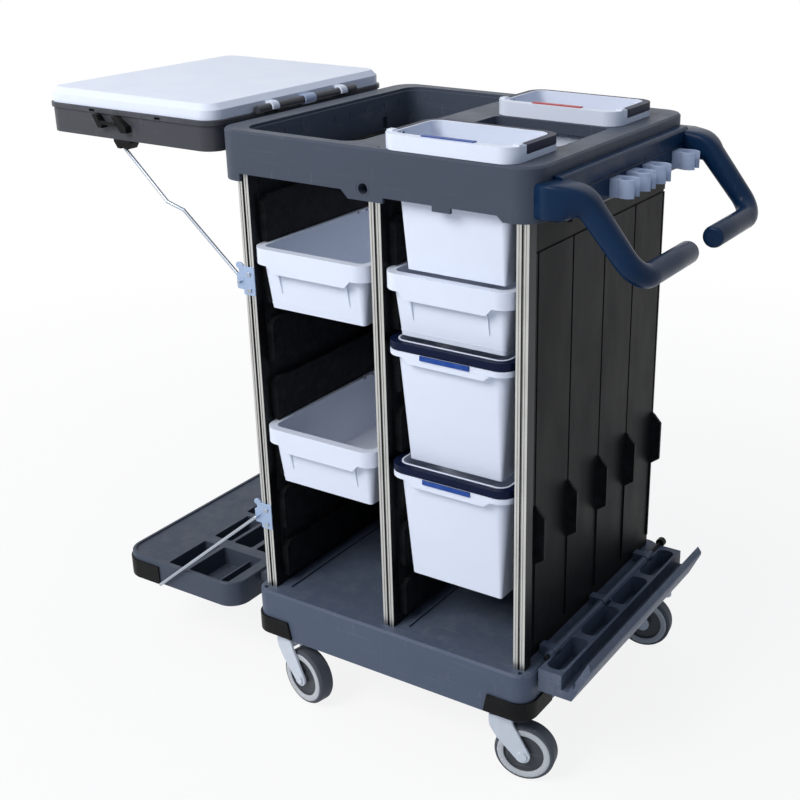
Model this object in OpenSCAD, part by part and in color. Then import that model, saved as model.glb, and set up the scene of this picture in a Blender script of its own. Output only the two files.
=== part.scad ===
// Janitor cart with bag holder, drawers, buckets, mop clips and four swivel casters.
// Millimetres, Z up, front of the cart toward -Y, push handle toward +X, floor at Z 0.

/* [Chassis] */
// spacing of neighbouring front posts, centre to centre
bay_pitch = 243; // [239:1:255]
// distance from the cart's middle to the front posts' centres
post_y = 224; // [216:1:232]
// side of the square post extrusion
post_w = 20; // [18:1:20]
// clear height from the deck to the lower edge of the tray skirt
bay_h = 706; // [702:1:740]
// height of the base moulding
base_h = 84; // [78:1:96]
// how far the base reaches past the outer posts' centres
base_over = 25; // [22:1:28]
// corner radius of the base
base_r = 28; // [26:1:32]
// thickness of the deck and skirt of the base
base_t = 5; // [4:0.5:7]
// thickness of the rubber corner bumpers
bumper_t = 4; // [3:0.5:6]
// height of the corner bumpers
bumper_h = 32; // [24:1:40]
// length of each bumper leg measured from the corner
bumper_leg = 78; // [60:1:78]
// radius of the two blind holes in the deck's front corners
deck_hole_r = 4; // [2:0.5:4.5]
// thickness of the side panels
panel_t = 10; // [8:0.5:10]

/* [Tray] */
// height of the top tray
tray_h = 76; // [73:1:84]
// how far the tray reaches past the outer posts' centres
tray_over = 29; // [27:1:33]
// corner radius of the tray
tray_r = 36; // [28:1:40]
// thickness of the tray skirt below its floor line
skirt_t = 5; // [4:0.5:6]
// radius of the tool hole in the front of the tray
tool_hole_r = 8; // [5:0.5:9]

/* [Rails and drawers] */
// height of the groove a rim slides in
groove_h = 28; // [27.5:0.5:32]
// play between a sliding rim and its rail
slide_gap = 0.3; // [0.2:0.05:0.6]
// how far the rails stand out from the panels
rail_out = 10.5; // [9:0.5:11]
// front to back length of a drawer rim
drawer_d = 395; // [330:1:410]
// depth of a drawer below its rim
drawer_h = 73; // [55:1:74]
// draft of the drawer walls over their height
drawer_draft = 9; // [5:0.5:10]
// wall thickness of drawers and buckets
bin_t = 2.5; // [2:0.25:3.5]

/* [Buckets] */
// front to back length of a bucket rim
bucket_d = 136; // [128:1:142]
// free height between a bucket's floor and the rim of the bucket under it
bucket_gap = 1.2; // [1:0.1:20]
// draft of the bucket walls over their height
bucket_draft = 14; // [8:0.5:15]
// height of a bucket rim
bucket_rim_h = 22; // [20:0.5:23]
// height of the bail section
bail_h = 12; // [10:0.5:13]
// radial play of the bail pins
pin_play = 0.05; // [0.02:0.01:0.1]

/* [Handle] */
// radius of the grips
grip_r = 17; // [14:0.5:18]
// distance of the grip centre from the tray's right face
grip_out = 131; // [115:1:150]
// height of the grip centre below the arm roots
grip_drop = 98; // [90:1:104]
// straight length of a grip
grip_len = 132; // [100:1:150]
// bore radius of a mop clip jaw
clip_r = 11; // [9:0.5:12]

/* [Bag holder] */
// length of the bag frame, outward from the cart
frame_w = 354; // [330:1:370]
// width of the bag frame along the cart's side
frame_d = 444; // [420:1:446]
// height of the bag frame wall
frame_h = 46; // [40:1:50]
// height of the lid
lid_h = 24; // [20:1:28]
// length of the fold-out platform, outward from the cart
platform_w = 266; // [256:1:290]
// width of the platform along the cart's side
platform_d = 432; // [410:1:446]
// height of the platform
platform_h = 47; // [44:1:50]
// radius of the steel strut and stay rods
rod_r = 2.75; // [2:0.25:3]

/* [Casters] */
// wheel diameter
wheel_d = 100; // [90:1:104]
// tread width of a wheel
wheel_w = 28; // [24:1:30]
// height from the floor to the underside of the base
caster_h = 123; // [121:1:135]
// horizontal distance from the swivel axis to the wheel axle
trail = 37; // [32:1:40]

/* [Hidden] */
$fn = 48;
grey = [0.30, 0.32, 0.36];
dark = [0.16, 0.16, 0.16];
black = [0.07, 0.07, 0.08];
silver = [0.78, 0.77, 0.73];
white = [0.93, 0.93, 0.95];
navy = [0.09, 0.20, 0.33];
deck_z = caster_h + base_h;
tray_z = deck_z + bay_h;
tray_top = tray_z + tray_h;
web_z = tray_z + 14;
base_w = 2 * (bay_pitch + base_over);
base_d = 2 * (post_y + 28);
tray_w = 2 * (bay_pitch + tray_over);
tray_y0 = -post_y - 32;
tray_y1 = post_y + 16;
tray_d = tray_y1 - tray_y0;
tray_c = (tray_y0 + tray_y1) / 2;
panel_y0 = -post_y + post_w / 2;
panel_y1 = tray_y1 - skirt_t - 3;
back_t = 10;
rear_y = panel_y1 - back_t - post_w / 2;
side_in = bay_pitch - post_w / 2;
side_out = side_in + panel_t;
bay_clear = bay_pitch - post_w;
rail_clear = bay_clear - 2 * rail_out;
rail_pitch = (bay_h - 9) / 7;
rail_z = deck_z + 79;
lip_y = -post_y - 20;
drawer_w = bay_clear - 4;
bucket_w = bay_clear - 9;
top_x = bay_pitch / 2 + 10.5;
top_front_y = -post_y + 38;
top_rear_y = post_y - 105;
tray_face = tray_w / 2;
socket_x = -3;
socket_z = web_z + 3;
socket_r = tool_hole_r + 3;
socket_l = 20;
frame_x1 = -tray_face - 18;
frame_cx = frame_x1 - frame_w / 2;
latch_d = 14;
frame_cy = latch_d + frame_d / 2 - base_d / 2 - bumper_t;
frame_z = web_z + 19;
frame_top = frame_z + frame_h;
frame_axis_x = -tray_face - 9;
frame_axis_z = frame_z + 4;
frame_r = 28;
bar_r = 6;
bar_x = frame_x1 + 7;
bar_z = frame_top + 5;
platform_x1 = -base_w / 2 - 62;
platform_cx = platform_x1 - platform_w / 2;
platform_top = caster_h + 55;
platform_z = platform_top - platform_h;
platform_axis_x = -base_w / 2 - 22;
platform_axis_z = platform_top - 13;
strut_x = -bay_pitch - 18;
strut_z = deck_z + 541;
stay_z = deck_z + 131;
plate_y = -post_y - post_w / 2;
strut_y = plate_y + 5;
stay_y = plate_y - 9;
stay_gap = 7;
platform_cy = stay_y + stay_gap + platform_d / 2;
caster_x = bay_pitch - 31;
caster_y = post_y;
caster_turn = [-12, 12, -8, 10];
fork_in = wheel_w / 2 + 3;
axle_r = 5;
stem_r = 6;
pedal_x = 28;
mop_x = base_w / 2 + 4;
mop_z = deck_z - 33;
mop_axis_x = base_w / 2 + 2;
mop_axis_z = deck_z + 9;
mop_y0 = -post_y;
mop_d = 452;
arm_y = 208;
arm_z = tray_top - 43;
grip_x = tray_face + grip_out;
grip_z = arm_z - grip_drop;
bend_r = 34;
joint_lap = 0.6;
rail_t = 16;
rib_top = deck_z + 262;
bail_back = 26;
bump_h = 2;
bucket_h = 2 * rail_pitch - bucket_rim_h - bump_h - bucket_gap;
bail_pin_z = bucket_rim_h - bail_h / 2 - 0.5;
left_reach = -(frame_x1 - frame_w) + 3;
right_reach = grip_x + grip_r;
shift_x = (left_reach - right_reach) / 2;

// moves the cart so that the middle of its whole length stands on the origin
module at_cart() {
  translate([shift_x, 0, 0])
    children();
}

// flat rectangle with round corners
module rrect(w, d, r) {
  square([w - 2 * r, d], center = true);
  square([w, d - 2 * r], center = true);
  for (x = [-1, 1], y = [-1, 1])
    translate([x * (w / 2 - r), y * (d / 2 - r)])
      circle(r);
}

// box with round corners that grows by its draft from bottom to top, top face at Z 0
module draft_box(w, d, h, r, t) {
  for (x = [-1, 1], y = [-1, 1])
    translate([x * (w / 2 - r), y * (d / 2 - r), -h])
      cylinder(h = h, r1 = r - t, r2 = r);
  rotate([90, 0, 90])
    translate([0, 0, r - w / 2])
      linear_extrude(w - 2 * r)
        polygon([[t - d / 2, -h], [d / 2 - t, -h], [d / 2, 0], [-d / 2, 0]]);
  rotate([90, 0, 0])
    translate([0, 0, r - d / 2])
      linear_extrude(d - 2 * r)
        polygon([[t - w / 2, -h], [w / 2 - t, -h], [w / 2, 0], [-w / 2, 0]]);
}

// slab with round corners and a bevel round its top edge, bottom at Z 0
module bevel_slab(w, d, h, r, c) {
  linear_extrude(h - c)
    rrect(w, d, r);
  translate([0, 0, h - c])
    mirror([0, 0, 1])
      draft_box(w, d, c, r, c);
}

// round rod between two points of the XZ plane, with round ends
module rod_xz(a, b, r) {
  len = norm(b - a);
  ang = atan2(b[0] - a[0], b[1] - a[1]);
  translate([a[0], 0, a[1]])
    rotate([0, ang, 0])
      cylinder(h = len, r = r);
  translate([b[0], 0, b[1]])
    sphere(r + 0.25);
}

// plate lying in the XZ plane, its outline extruded toward +Y
module plate_xz(y, t) {
  translate([0, y + t, 0])
    rotate([90, 0, 0])
      linear_extrude(t)
        children();
}

// round bar along Y
module bar_y(x, z, y, len, r) {
  translate([x, y, z])
    rotate([-90, 0, 0])
      cylinder(h = len, r = r);
}

// base moulding with its skirt, caster bosses, post sockets, hinge ears and deck grooves
module base_deck() {
  color(grey)
    at_cart()
      difference() {
        union() {
          difference() {
            translate([0, 0, caster_h])
              bevel_slab(base_w, base_d, base_h, base_r, 4);
            translate([0, 0, caster_h - 1])
              linear_extrude(base_h - base_t + 1)
                rrect(base_w - 2 * base_t, base_d - 2 * base_t, base_r - base_t);
          }
          base_bosses();
          platform_ears();
          mop_ears();
        }
        base_cuts();
      }
}

// solid parts under the deck that take the stems and the posts
module base_bosses() {
  for (x = [-1, 1], y = [-1, 1])
    translate([x * caster_x, y * caster_y, caster_h])
      cylinder(h = base_h - 1, r = 24);
  for (x = [-1, 0, 1])
    translate([x * bay_pitch, -post_y, deck_z - 11])
      cube([post_w + 10, post_w + 10, 20], center = true);
  for (x = [-1, 1])
    translate([x * (bay_pitch + 7), -post_y - 16, deck_z - 20])
      cylinder(h = 18, r = deck_hole_r + 5);
  for (x = [-1, 0, 1])
    translate([x * (side_in - post_w / 2), rear_y, deck_z - 11])
      cube([post_w + 10, post_w + 10, 20], center = true);
}

// ears on the left side that carry the fold-out platform
module platform_ears() {
  for (s = [-1, 1], e = [-1, 1])
    translate([0, platform_cy + s * 130 + e * 19 - 4, 0]) {
      bar_y(platform_axis_x, platform_axis_z, 0, 8, 9);
      translate([platform_axis_x, 0, platform_axis_z - 9])
        cube([24, 8, 18]);
    }
}

// ears on the right edge of the deck that carry the mop tray
module mop_ears() {
  for (y = [-170, 0, 170])
    translate([0, y, 0]) {
      bar_y(mop_axis_x, mop_axis_z, -8, 16, 7);
      translate([mop_axis_x - 22, -8, deck_z - 2])
        cube([22, 16, 18]);
      translate([mop_axis_x - 6, -8, deck_z - 12])
        cube([6, 16, 20]);
    }
}

// sockets, holes and grooves cut out of the base
module base_cuts() {
  for (x = [-1, 1], y = [-1, 1])
    translate([x * caster_x, y * caster_y, caster_h - 1])
      cylinder(h = 41, r = stem_r);
  for (x = [-1, 0, 1])
    translate([x * bay_pitch - post_w / 2, -post_y - post_w / 2, deck_z - 12])
      cube([post_w, post_w, 20]);
  for (x = [-1, 0, 1])
    translate([x * (side_in - post_w / 2) - post_w / 2, rear_y - post_w / 2, deck_z - 12])
      cube([post_w, post_w, 20]);
  for (x = [-1, 1])
    translate([x * (bay_pitch + 7), -post_y - 16, deck_z - 8])
      cylinder(h = 18, r = deck_hole_r);
  for (x = [-bay_pitch, 0])
    translate([x + 29, -post_y + 4, deck_z - 3.5])
      cube([5, 390, 5]);
  for (s = [-1, 1])
    bar_y(platform_axis_x, platform_axis_z, platform_cy + s * 130 - 30, 60, 4);
  bar_y(mop_axis_x, mop_axis_z, -200, 400, 3);
}

// four rubber bumpers wrapped round the base corners, their ends cut slanting
module corner_bumpers() {
  color(black)
    at_cart()
      for (x = [-1, 1], y = [-1, 1])
        intersection() {
          translate([0, 0, caster_h + 3])
            linear_extrude(bumper_h)
              difference() {
                rrect(base_w + 2 * bumper_t, base_d + 2 * bumper_t, base_r + bumper_t);
                rrect(base_w, base_d, base_r);
              }
          bumper_zone(x, y);
        }
}

// region of one corner that a bumper fills
module bumper_zone(sx, sy) {
  hx = base_w / 2 + 10;
  hy = base_d / 2 + 10;
  z0 = caster_h;
  z1 = caster_h + bumper_h + 10;
  a = bumper_leg + 10;
  mirror([sx > 0 ? 0 : 1, 0, 0])
    mirror([0, sy > 0 ? 0 : 1, 0]) {
      translate([hx - base_r - 12, hy - base_r - 12, z0])
        cube([base_r + 12, base_r + 12, bumper_h + 10]);
      plate_xz(hy - 11, 11)
        polygon([[hx - a, z0], [hx, z0], [hx, z1], [hx - a + 9, z1]]);
      translate([hx - 11, 0, 0])
        rotate([90, 0, 90])
          linear_extrude(11)
            polygon([[hy - a, z0], [hy, z0], [hy, z1], [hy - a + 9, z1]]);
    }
}

// cross section of the post extrusion
module post_section() {
  difference() {
    square([post_w, post_w], center = true);
    for (s = [-1, 1]) {
      translate([0, s * post_w / 2])
        square([4, 9], center = true);
      translate([5.5, s * post_w / 2])
        square([1.5, 2], center = true);
      translate([-5.5, s * post_w / 2])
        square([1.5, 2], center = true);
    }
  }
}

// three front posts
module front_posts() {
  color(silver)
    at_cart()
      for (x = [-1, 0, 1])
        translate([x * bay_pitch, -post_y, deck_z - 12])
          linear_extrude(web_z - deck_z + 12)
            post_section();
}

// three rear posts inside the panels
module rear_posts() {
  color(silver)
    at_cart()
      for (x = [-1, 0, 1])
        translate([x * (side_in - post_w / 2), rear_y, deck_z - 12])
          linear_extrude(web_z - deck_z + 12)
            post_section();
}

// rail blocks of one panel face, standing toward +X from X 0
module rail_blocks() {
  len = rear_y - post_w / 2 - panel_y0 - 7;
  for (k = [0:7])
    translate([0, panel_y0 + 2, rail_z + (k - 1) * rail_pitch + groove_h])
      rail_block(len, k == 7 ? web_z - rail_z - 6 * rail_pitch - groove_h : rail_pitch - groove_h, k);
}

// one rail block with its front end cut slanting at the top
module rail_block(len, h, k) {
  rotate([90, 0, 90])
    linear_extrude(rail_out)
      polygon([[0, k == 0 ? 8 : 0], [len, k == 0 ? 8 : 0], [len, h], [9, h], [0, h - min(9, h / 2)]]);
}

// outer panel standing on its inner face at X 0, outside toward +X
module outer_panel() {
  difference() {
    translate([0, panel_y0, deck_z])
      cube([panel_t, panel_y1 - panel_y0, web_z - deck_z]);
    translate([panel_t - 2, panel_y0 + 12, tray_z - 55])
      cube([4, panel_y1 - panel_y0, 4]);
    for (k = [0:4])
      translate([panel_t - 1.5, panel_y0 + 22 + k * 104, rib_top])
        cube([3, 4, tray_z - 55 - rib_top]);
  }
  for (k = [0:4])
    translate([panel_t, panel_y0 + 22 + k * 104, deck_z + 22])
      cube([3, 4, rib_top - deck_z - 22]);
}

// left outer panel
module left_panel() {
  color(dark)
    at_cart()
      mirror([1, 0, 0])
        translate([side_in, 0, 0]) {
          outer_panel();
        }
}

// right outer panel with five hook tabs outside
module right_panel() {
  color(dark)
    at_cart()
      translate([side_in, 0, 0]) {
        outer_panel();
        for (k = [0:4])
          translate([panel_t, panel_y0 + 20 + k * 104, deck_z + 166])
            hook_tab();
      }
}

// hook tab, a six sided plate standing outward
module hook_tab() {
  plate_xz(0, 5)
    polygon([[-1, 0], [3, 0], [19, 12], [19, 80], [5, 95], [-1, 95]]);
}

// divider between the two bays
module centre_panel() {
  color(dark)
    at_cart()
      translate([-post_w / 2, panel_y0, deck_z])
        cube([post_w, rear_y - post_w / 2 - panel_y0, web_z - deck_z]);
}

// rail blocks of both bays, on the outer panels and on both faces of the divider
module panel_rails() {
  color(dark)
    at_cart()
      for (m = [0, 1])
        mirror([m, 0, 0]) {
          translate([post_w / 2, 0, 0])
            rail_blocks();
          translate([side_in, 0, 0])
            mirror([1, 0, 0])
              rail_blocks();
        }
}

// back wall of both bays
module back_panel() {
  color(dark)
    at_cart()
      difference() {
        translate([-side_in, panel_y1 - back_t, deck_z])
          cube([2 * side_in, back_t, web_z - deck_z]);
        for (x = [-3:3])
          translate([x * 60 - 2, panel_y1 - 1.5, deck_z + 20])
            cube([4, 3, bay_h - 60]);
      }
}

// top tray: rim, left well, right openings for the buckets, skirt
module top_tray() {
  color(grey)
    at_cart()
      difference() {
        union() {
          translate([0, tray_c, tray_z])
            bevel_slab(tray_w, tray_d, tray_h, tray_r, 3);
          frame_ears();
        }
        translate([0, tray_c, tray_z - 1])
          linear_extrude(web_z - tray_z + 1)
            rrect(tray_w - 2 * skirt_t, tray_d - 2 * skirt_t, tray_r - skirt_t);
        tray_well();
        tray_openings();
        tray_skirt_cuts();
        bar_y(socket_x, socket_z, tray_y0 - 1, socket_l + 1, socket_r + 0.15);
        for (s = [-1, 1])
          bar_y(frame_axis_x, frame_axis_z, frame_cy + s * 150 - 30, 60, 4);
      }
}

// blind socket let into the tray front for the peg of a tool hook
module tool_socket() {
  color(grey)
    at_cart()
      difference() {
        bar_y(socket_x, socket_z, tray_y0, socket_l, socket_r);
        bar_y(socket_x, socket_z, tray_y0 - 1, socket_l - 1, tool_hole_r);
      }
}

// left well with its step, tick notches and wall slot
module tray_well() {
  x0 = -side_in - 2;
  x1 = -33;
  y0 = tray_y0 + 23;
  y1 = tray_y1 - 28;
  translate([(x0 + x1) / 2, (y0 + y1) / 2, 0]) {
    translate([0, 0, tray_z - 1])
      linear_extrude(tray_h + 2)
        rrect(x1 - x0, y1 - y0, 26);
    translate([0, 0, tray_top - 5])
      linear_extrude(6)
        rrect(x1 - x0 + 5, y1 - y0 + 5, 28.5);
  }
  for (y = [-160, -140, -98, -14, 26, 70, 124, 168])
    translate([x0 - 1.5, y, tray_top - 28])
      cube([3, 1.6, 12]);
  translate([x0 - 6, 118, web_z + 2])
    cube([8, 14, 20]);
}

// openings of the right half: two for buckets, one between them
module tray_openings() {
  ow = bucket_w - 18;
  od = bucket_d - 19;
  for (y = [top_front_y, top_rear_y])
    translate([top_x, y, tray_z - 1])
      linear_extrude(tray_h + 2)
        rrect(ow, od, 14);
  gy0 = top_front_y + od / 2 + 14;
  gy1 = top_rear_y - od / 2 - 14;
  translate([top_x, (gy0 + gy1) / 2, tray_z - 1])
    linear_extrude(tray_h + 2)
      rrect(ow, gy1 - gy0, 10);
  translate([top_x, (gy0 + gy1) / 2, tray_z - 1])
    linear_extrude(tray_h - 16)
      rrect(ow, gy1 - gy0 + 40, 10);
  translate([top_x - ow / 2 - 16, top_front_y - 58, tray_top - 20])
    cylinder(h = 30, r = 2.5);
}

// cut-outs in the lower edge of the front skirt
module tray_skirt_cuts() {
  z0 = tray_z - 1;
  plate_xz(tray_y0 - 1, skirt_t + 3)
    polygon([[14 - bay_pitch, z0], [-29, z0], [-42, tray_z + 12], [14 - bay_pitch, tray_z + 12]]);
  plate_xz(tray_y0 - 1, skirt_t + 3)
    polygon([[30, z0], [112, z0], [112, tray_z + 8], [30, tray_z + 8]]);
  plate_xz(tray_y0 - 1, skirt_t + 3)
    polygon([[142, z0], [bay_pitch - 18, z0], [bay_pitch - 28, tray_z + 8], [142, tray_z + 8]]);
}

// ears on the left face that carry the bag frame
module frame_ears() {
  for (s = [-1, 1], e = [-1, 1])
    translate([0, frame_cy + s * 150 + e * 18 - 3, 0]) {
      bar_y(frame_axis_x, frame_axis_z, 0, 6, 8);
      translate([frame_axis_x, 0, frame_axis_z - 8])
        cube([11, 6, 16]);
    }
}

// dark blue rail on the right face of the tray
module handle_rail() {
  color(navy)
    at_cart()
      translate([tray_face, arm_y, tray_z + 21])
        rotate([90, 0, 0])
          linear_extrude(2 * arm_y)
            rail_outline();
}

// cross section of the handle rail
module rail_outline() {
  difference() {
    union() {
      translate([0, -24])
        square([10, 62]);
      translate([0, -18])
        square([rail_t, 50]);
      translate([10, -18])
        circle(6);
      translate([10, 32])
        circle(6);
    }
    translate([-20, -40])
      square([20, 100]);
    translate([14, 12])
      square([4, 3]);
  }
}

// one push arm for the front end: root block, bend, slope, elbow and grip along +Y
module push_arm() {
  slope = 50;
  run = bend_r * sin(slope);
  drop = bend_r * (1 - cos(slope));
  end_x = grip_x - bend_r * cos(slope);
  end_z = grip_z + bend_r * sin(slope);
  len = (arm_z - drop - end_z) / sin(slope);
  x1 = end_x - len * cos(slope) - run;
  translate([tray_face + rail_t, 0, arm_z])
    rotate([90, 0, 90])
      linear_extrude(x1 - tray_face - rail_t + joint_lap)
        rrect(2 * grip_r + 3, 2 * grip_r + 5, grip_r);
  translate([x1, 0, arm_z - bend_r])
    rotate([90, 0, 0])
      rotate([0, 0, 90 - slope])
        rotate_extrude(angle = slope)
          translate([bend_r, 0])
            circle(grip_r + 1);
  translate([x1 + run, 0, arm_z - drop])
    rotate([0, 90 + slope, 0])
      translate([0, 0, -joint_lap])
        cylinder(h = len + 2 * joint_lap, r = grip_r + 1.4);
  translate([end_x, 0, end_z])
    rotate([0, slope, 0])
      translate([0, bend_r, 0])
        rotate([0, 0, -90])
          rotate_extrude(angle = 90)
            translate([bend_r, 0])
              circle(grip_r + 1);
  bar_y(grip_x, grip_z, bend_r - joint_lap, grip_len - 4 + joint_lap, grip_r);
  translate([grip_x, bend_r + grip_len - 4, grip_z])
    rotate([-90, 0, 0])
      cylinder(h = 4, r1 = grip_r, r2 = grip_r - 4);
}

// front push arm
module handle_arm_front() {
  color(navy)
    at_cart()
      translate([0, -arm_y, 0])
        push_arm();
}

// rear push arm
module handle_arm_rear() {
  color(navy)
    at_cart()
      mirror([0, 1, 0])
        translate([0, -arm_y, 0])
          push_arm();
}

// two black knobs under the arm roots
module handle_knobs() {
  color(black)
    at_cart()
      for (s = [-1, 1])
        translate([tray_face + 24, s * arm_y, arm_z - grip_r - 14.5]) {
          cylinder(h = 12, r = 4);
          cylinder(h = 5, r = 8);
        }
}

// four mop handle clips on the rail
module mop_clips() {
  color([0.60, 0.65, 0.76])
    at_cart()
      for (k = [-1, 0, 1, 3])
        translate([tray_face + rail_t, k * 54, tray_z + 4])
          linear_extrude(26)
            clip_outline();
}

// plan of one clip: foot, jaw with a mouth toward +X
module clip_outline() {
  c = clip_r + 11;
  difference() {
    union() {
      translate([0, -15])
        square([12, 30]);
      translate([c, 0])
        circle(clip_r + 6);
    }
    translate([c, 0])
      circle(clip_r);
    translate([c, 0])
      polygon([[0, 0], [40, -24], [40, 24]]);
  }
}

// fold-up mop tray with four compartments, a channel and a slanting flange
module mop_tray() {
  color(grey)
    at_cart()
      difference() {
        union() {
          translate([mop_x, mop_y0, mop_z])
            cube([40, mop_d, 40]);
          plate_xz(mop_y0, mop_d)
            translate([mop_x, mop_z])
              polygon([[38, 0], [58, 0], [79, 44], [79, 60], [73, 60], [52, 14], [38, 14]]);
          for (y = [[-189, 10], [-161, 152], [9, 152], [179, 10]])
            translate([0, y[0], 0]) {
              bar_y(mop_axis_x, mop_axis_z, 0, y[1], 6);
              translate([mop_axis_x, 0, mop_axis_z - 6])
                cube([12, y[1], 6]);
            }
        }
        for (k = [0:3])
          translate([mop_x + 20, mop_y0 + 60 + k * 110.5, mop_z + 4])
            linear_extrude(50)
              rrect(30, 96, 12);
        for (y = [-170, 0, 170])
          translate([mop_x - 2, y - 9, mop_axis_z - 9])
            cube([12, 18, 20]);
        bar_y(mop_axis_x, mop_axis_z, -250, 500, 3 + pin_play);
        plate_xz(mop_y0 - 1, mop_d + 2)
          translate([mop_x, mop_z])
            polygon([[90, 61], [70, 61], [100, 20]]);
        translate([mop_x + 60, mop_y0 - 1, mop_z + 20])
          rotate([-35, 0, 0])
            translate([0, -30, 0])
              cube([30, 30, 60]);
      }
}

// hinge pin of the mop tray with a black knob at the rear end
module mop_tray_pin() {
  knob_y = mop_y0 + mop_d + 1;
  color(black)
    at_cart() {
      bar_y(mop_axis_x, mop_axis_z, -200, knob_y + 8 + 200, 3);
      difference() {
        bar_y(mop_axis_x, mop_axis_z, knob_y, 12, 8);
        bar_y(mop_axis_x, mop_axis_z, knob_y - 1, 9 + pin_play, 3 + pin_play);
      }
    }
}

// drawer with its rim bottom at Z 0, front of the rim at Y 0, centred on X
module drawer() {
  r = 27;
  bw = rail_clear - 6;
  bd = drawer_d - (drawer_w - bw);
  translate([0, drawer_d / 2, 0]) {
    difference() {
      union() {
        translate([0, 0, 23])
          linear_extrude(3)
            rrect(drawer_w, drawer_d, r);
        linear_extrude(25)
          difference() {
            rrect(drawer_w, drawer_d, r);
            rrect(drawer_w - 6, drawer_d - 6, r - 3);
          }
        linear_extrude(25)
          rrect(bw, bd, r - 12);
        draft_box(bw, bd, drawer_h, r - 12, drawer_draft);
        translate([0, 0, 7 - drawer_h])
          linear_extrude(2.5)
            rrect(bw - 2 * drawer_draft + 3, bd - 2 * drawer_draft + 3, r - 12 - drawer_draft + 1.5);
      }
      linear_extrude(40)
        rrect(bw - 2 * bin_t, bd - 2 * bin_t, r - 12 - bin_t);
      translate([0, 0, 0.01])
        draft_box(bw - 2 * bin_t, bd - 2 * bin_t, drawer_h - bin_t, r - 12 - bin_t, drawer_draft);
      for (y = [60, 84, 108, 150], s = [-1, 1])
        translate([s * (bw / 2) - 3, y, 22])
          cube([6, 8, 6]);
    }
    for (s = [-1, 1])
      translate([s * (drawer_w / 2 - r - 18) - 1.5, -bd / 2, 0])
        drawer_fin(0.62);
  }
  lip_drop(drawer_w / 2 - r - 4, 11);
}

// upright fin on a drawer's front wall that tapers out at a share of the drawer's depth
module drawer_fin(share) {
  rotate([90, 0, 90])
    linear_extrude(3)
      polygon([[-5, 0], [bin_t - 1, 0], [share * drawer_draft + bin_t - 1, -share * drawer_h],
        [share * drawer_draft - 1, -share * drawer_h]]);
}

// front lip apron that steps down in the middle
module lip_drop(half, drop) {
  plate_xz(0, 3)
    polygon([[-half, 4], [-half, 0], [10 - half, -drop], [half - 10, -drop], [half, 0], [half, 4]]);
}

// places a drawer in a rail groove
module drawer_at(x, slot) {
  translate([x, lip_y, rail_z + slot * rail_pitch + slide_gap])
    children();
}

// upper left drawer
module drawer_left_upper() {
  color(white)
    at_cart()
      drawer_at(-bay_pitch / 2, 5)
        drawer();
}

// lower left drawer
module drawer_left_lower() {
  color(white)
    at_cart()
      drawer_at(-bay_pitch / 2, 2)
        drawer();
}

// right drawer
module drawer_right() {
  color(white)
    at_cart()
      drawer_at(bay_pitch / 2, 5)
        drawer();
}

// bucket with its rim bottom at Z 0, bail side toward +Y, centred on X and Y
module bucket() {
  r = 26;
  bw = bucket_w - 23;
  bd = bucket_d - 23;
  difference() {
    union() {
      linear_extrude(bucket_rim_h)
        rrect(bucket_w, bucket_d, r);
      draft_box(bw, bd, bucket_h, r - 8, bucket_draft);
      for (s = [-1, 1])
        translate([s * (bw / 2 + 5) - 5, -bail_back - 24, bucket_rim_h - 1])
          cube([10, 12, bump_h + 1]);
    }
    linear_extrude(40)
      rrect(bw - 2 * bin_t, bd - 2 * bin_t, r - 8 - bin_t);
    translate([0, 0, 0.01])
      draft_box(bw - 2 * bin_t, bd - 2 * bin_t, bucket_h - bin_t, r - 8 - bin_t, bucket_draft);
    translate([0, 0, bucket_rim_h - bail_h - 1.2])
      linear_extrude(40)
        difference() {
          translate([0, -bail_back - bail_h / 2 - 1])
            translate([-bucket_w, 0])
              square([2 * bucket_w, bucket_d]);
          rrect(bw + 1, bd + 1, r - 7.5);
        }
    rotate([90, 0, 90])
      translate([-bail_back, bail_pin_z, -bucket_w])
        cylinder(h = 2 * bucket_w, r = 3);
  }
}

// bail lying round the +Y side of its bucket
module bail() {
  r = 26;
  bw = bucket_w - 23;
  bd = bucket_d - 23;
  translate([0, 0, bail_pin_z]) {
    translate([0, 0, -bail_h / 2])
      linear_extrude(bail_h)
        difference() {
          rrect(bucket_w, bucket_d, r);
          rrect(bw + 1.8, bd + 1.8, r - 7.1);
          translate([-bucket_w, -bail_back - bucket_d])
            square([2 * bucket_w, bucket_d]);
        }
    for (s = [-1, 1])
      translate([s * (bucket_w + bw + 1.8) / 4, -bail_back, 0])
        rotate([0, 90, 0])
          cylinder(h = (bucket_w - bw - 1.8) / 2, r = bail_h / 2, center = true);
    for (s = [-1, 1])
      translate([s * (bw / 2 + 1), -bail_back, 0])
        rotate([0, 90, 0])
          cylinder(h = 4, r = 3 - pin_play, center = true);
  }
}

// apron under the bail of a bucket that stands in the rails
module bucket_apron() {
  translate([0, bucket_d / 2, 0])
    mirror([0, 1, 0])
      lip_drop(bucket_w / 2 - 32, 9);
}

// places a bucket in the tray
module tray_place(y) {
  translate([top_x, y, tray_top + slide_gap])
    children();
}

// places a bucket in a rail groove, bail side toward the front
module rail_place(slot) {
  translate([bay_pitch / 2, lip_y + bucket_d / 2, rail_z + slot * rail_pitch + slide_gap])
    rotate([0, 0, 180])
      children();
}

// front bucket of the tray
module bucket_tray_front() {
  color(white)
    at_cart()
      tray_place(top_front_y)
        bucket();
}

// rear bucket of the tray
module bucket_tray_rear() {
  color(white)
    at_cart()
      tray_place(top_rear_y)
        bucket();
}

// upper bucket of the right bay
module bucket_upper() {
  color(white)
    at_cart()
      rail_place(4) {
        bucket();
        bucket_apron();
      }
}

// lower bucket of the right bay
module bucket_lower() {
  color(white)
    at_cart()
      rail_place(2) {
        bucket();
        bucket_apron();
      }
}

// bail of the front tray bucket
module bail_tray_front() {
  color(black)
    at_cart()
      tray_place(top_front_y)
        bail();
}

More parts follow.
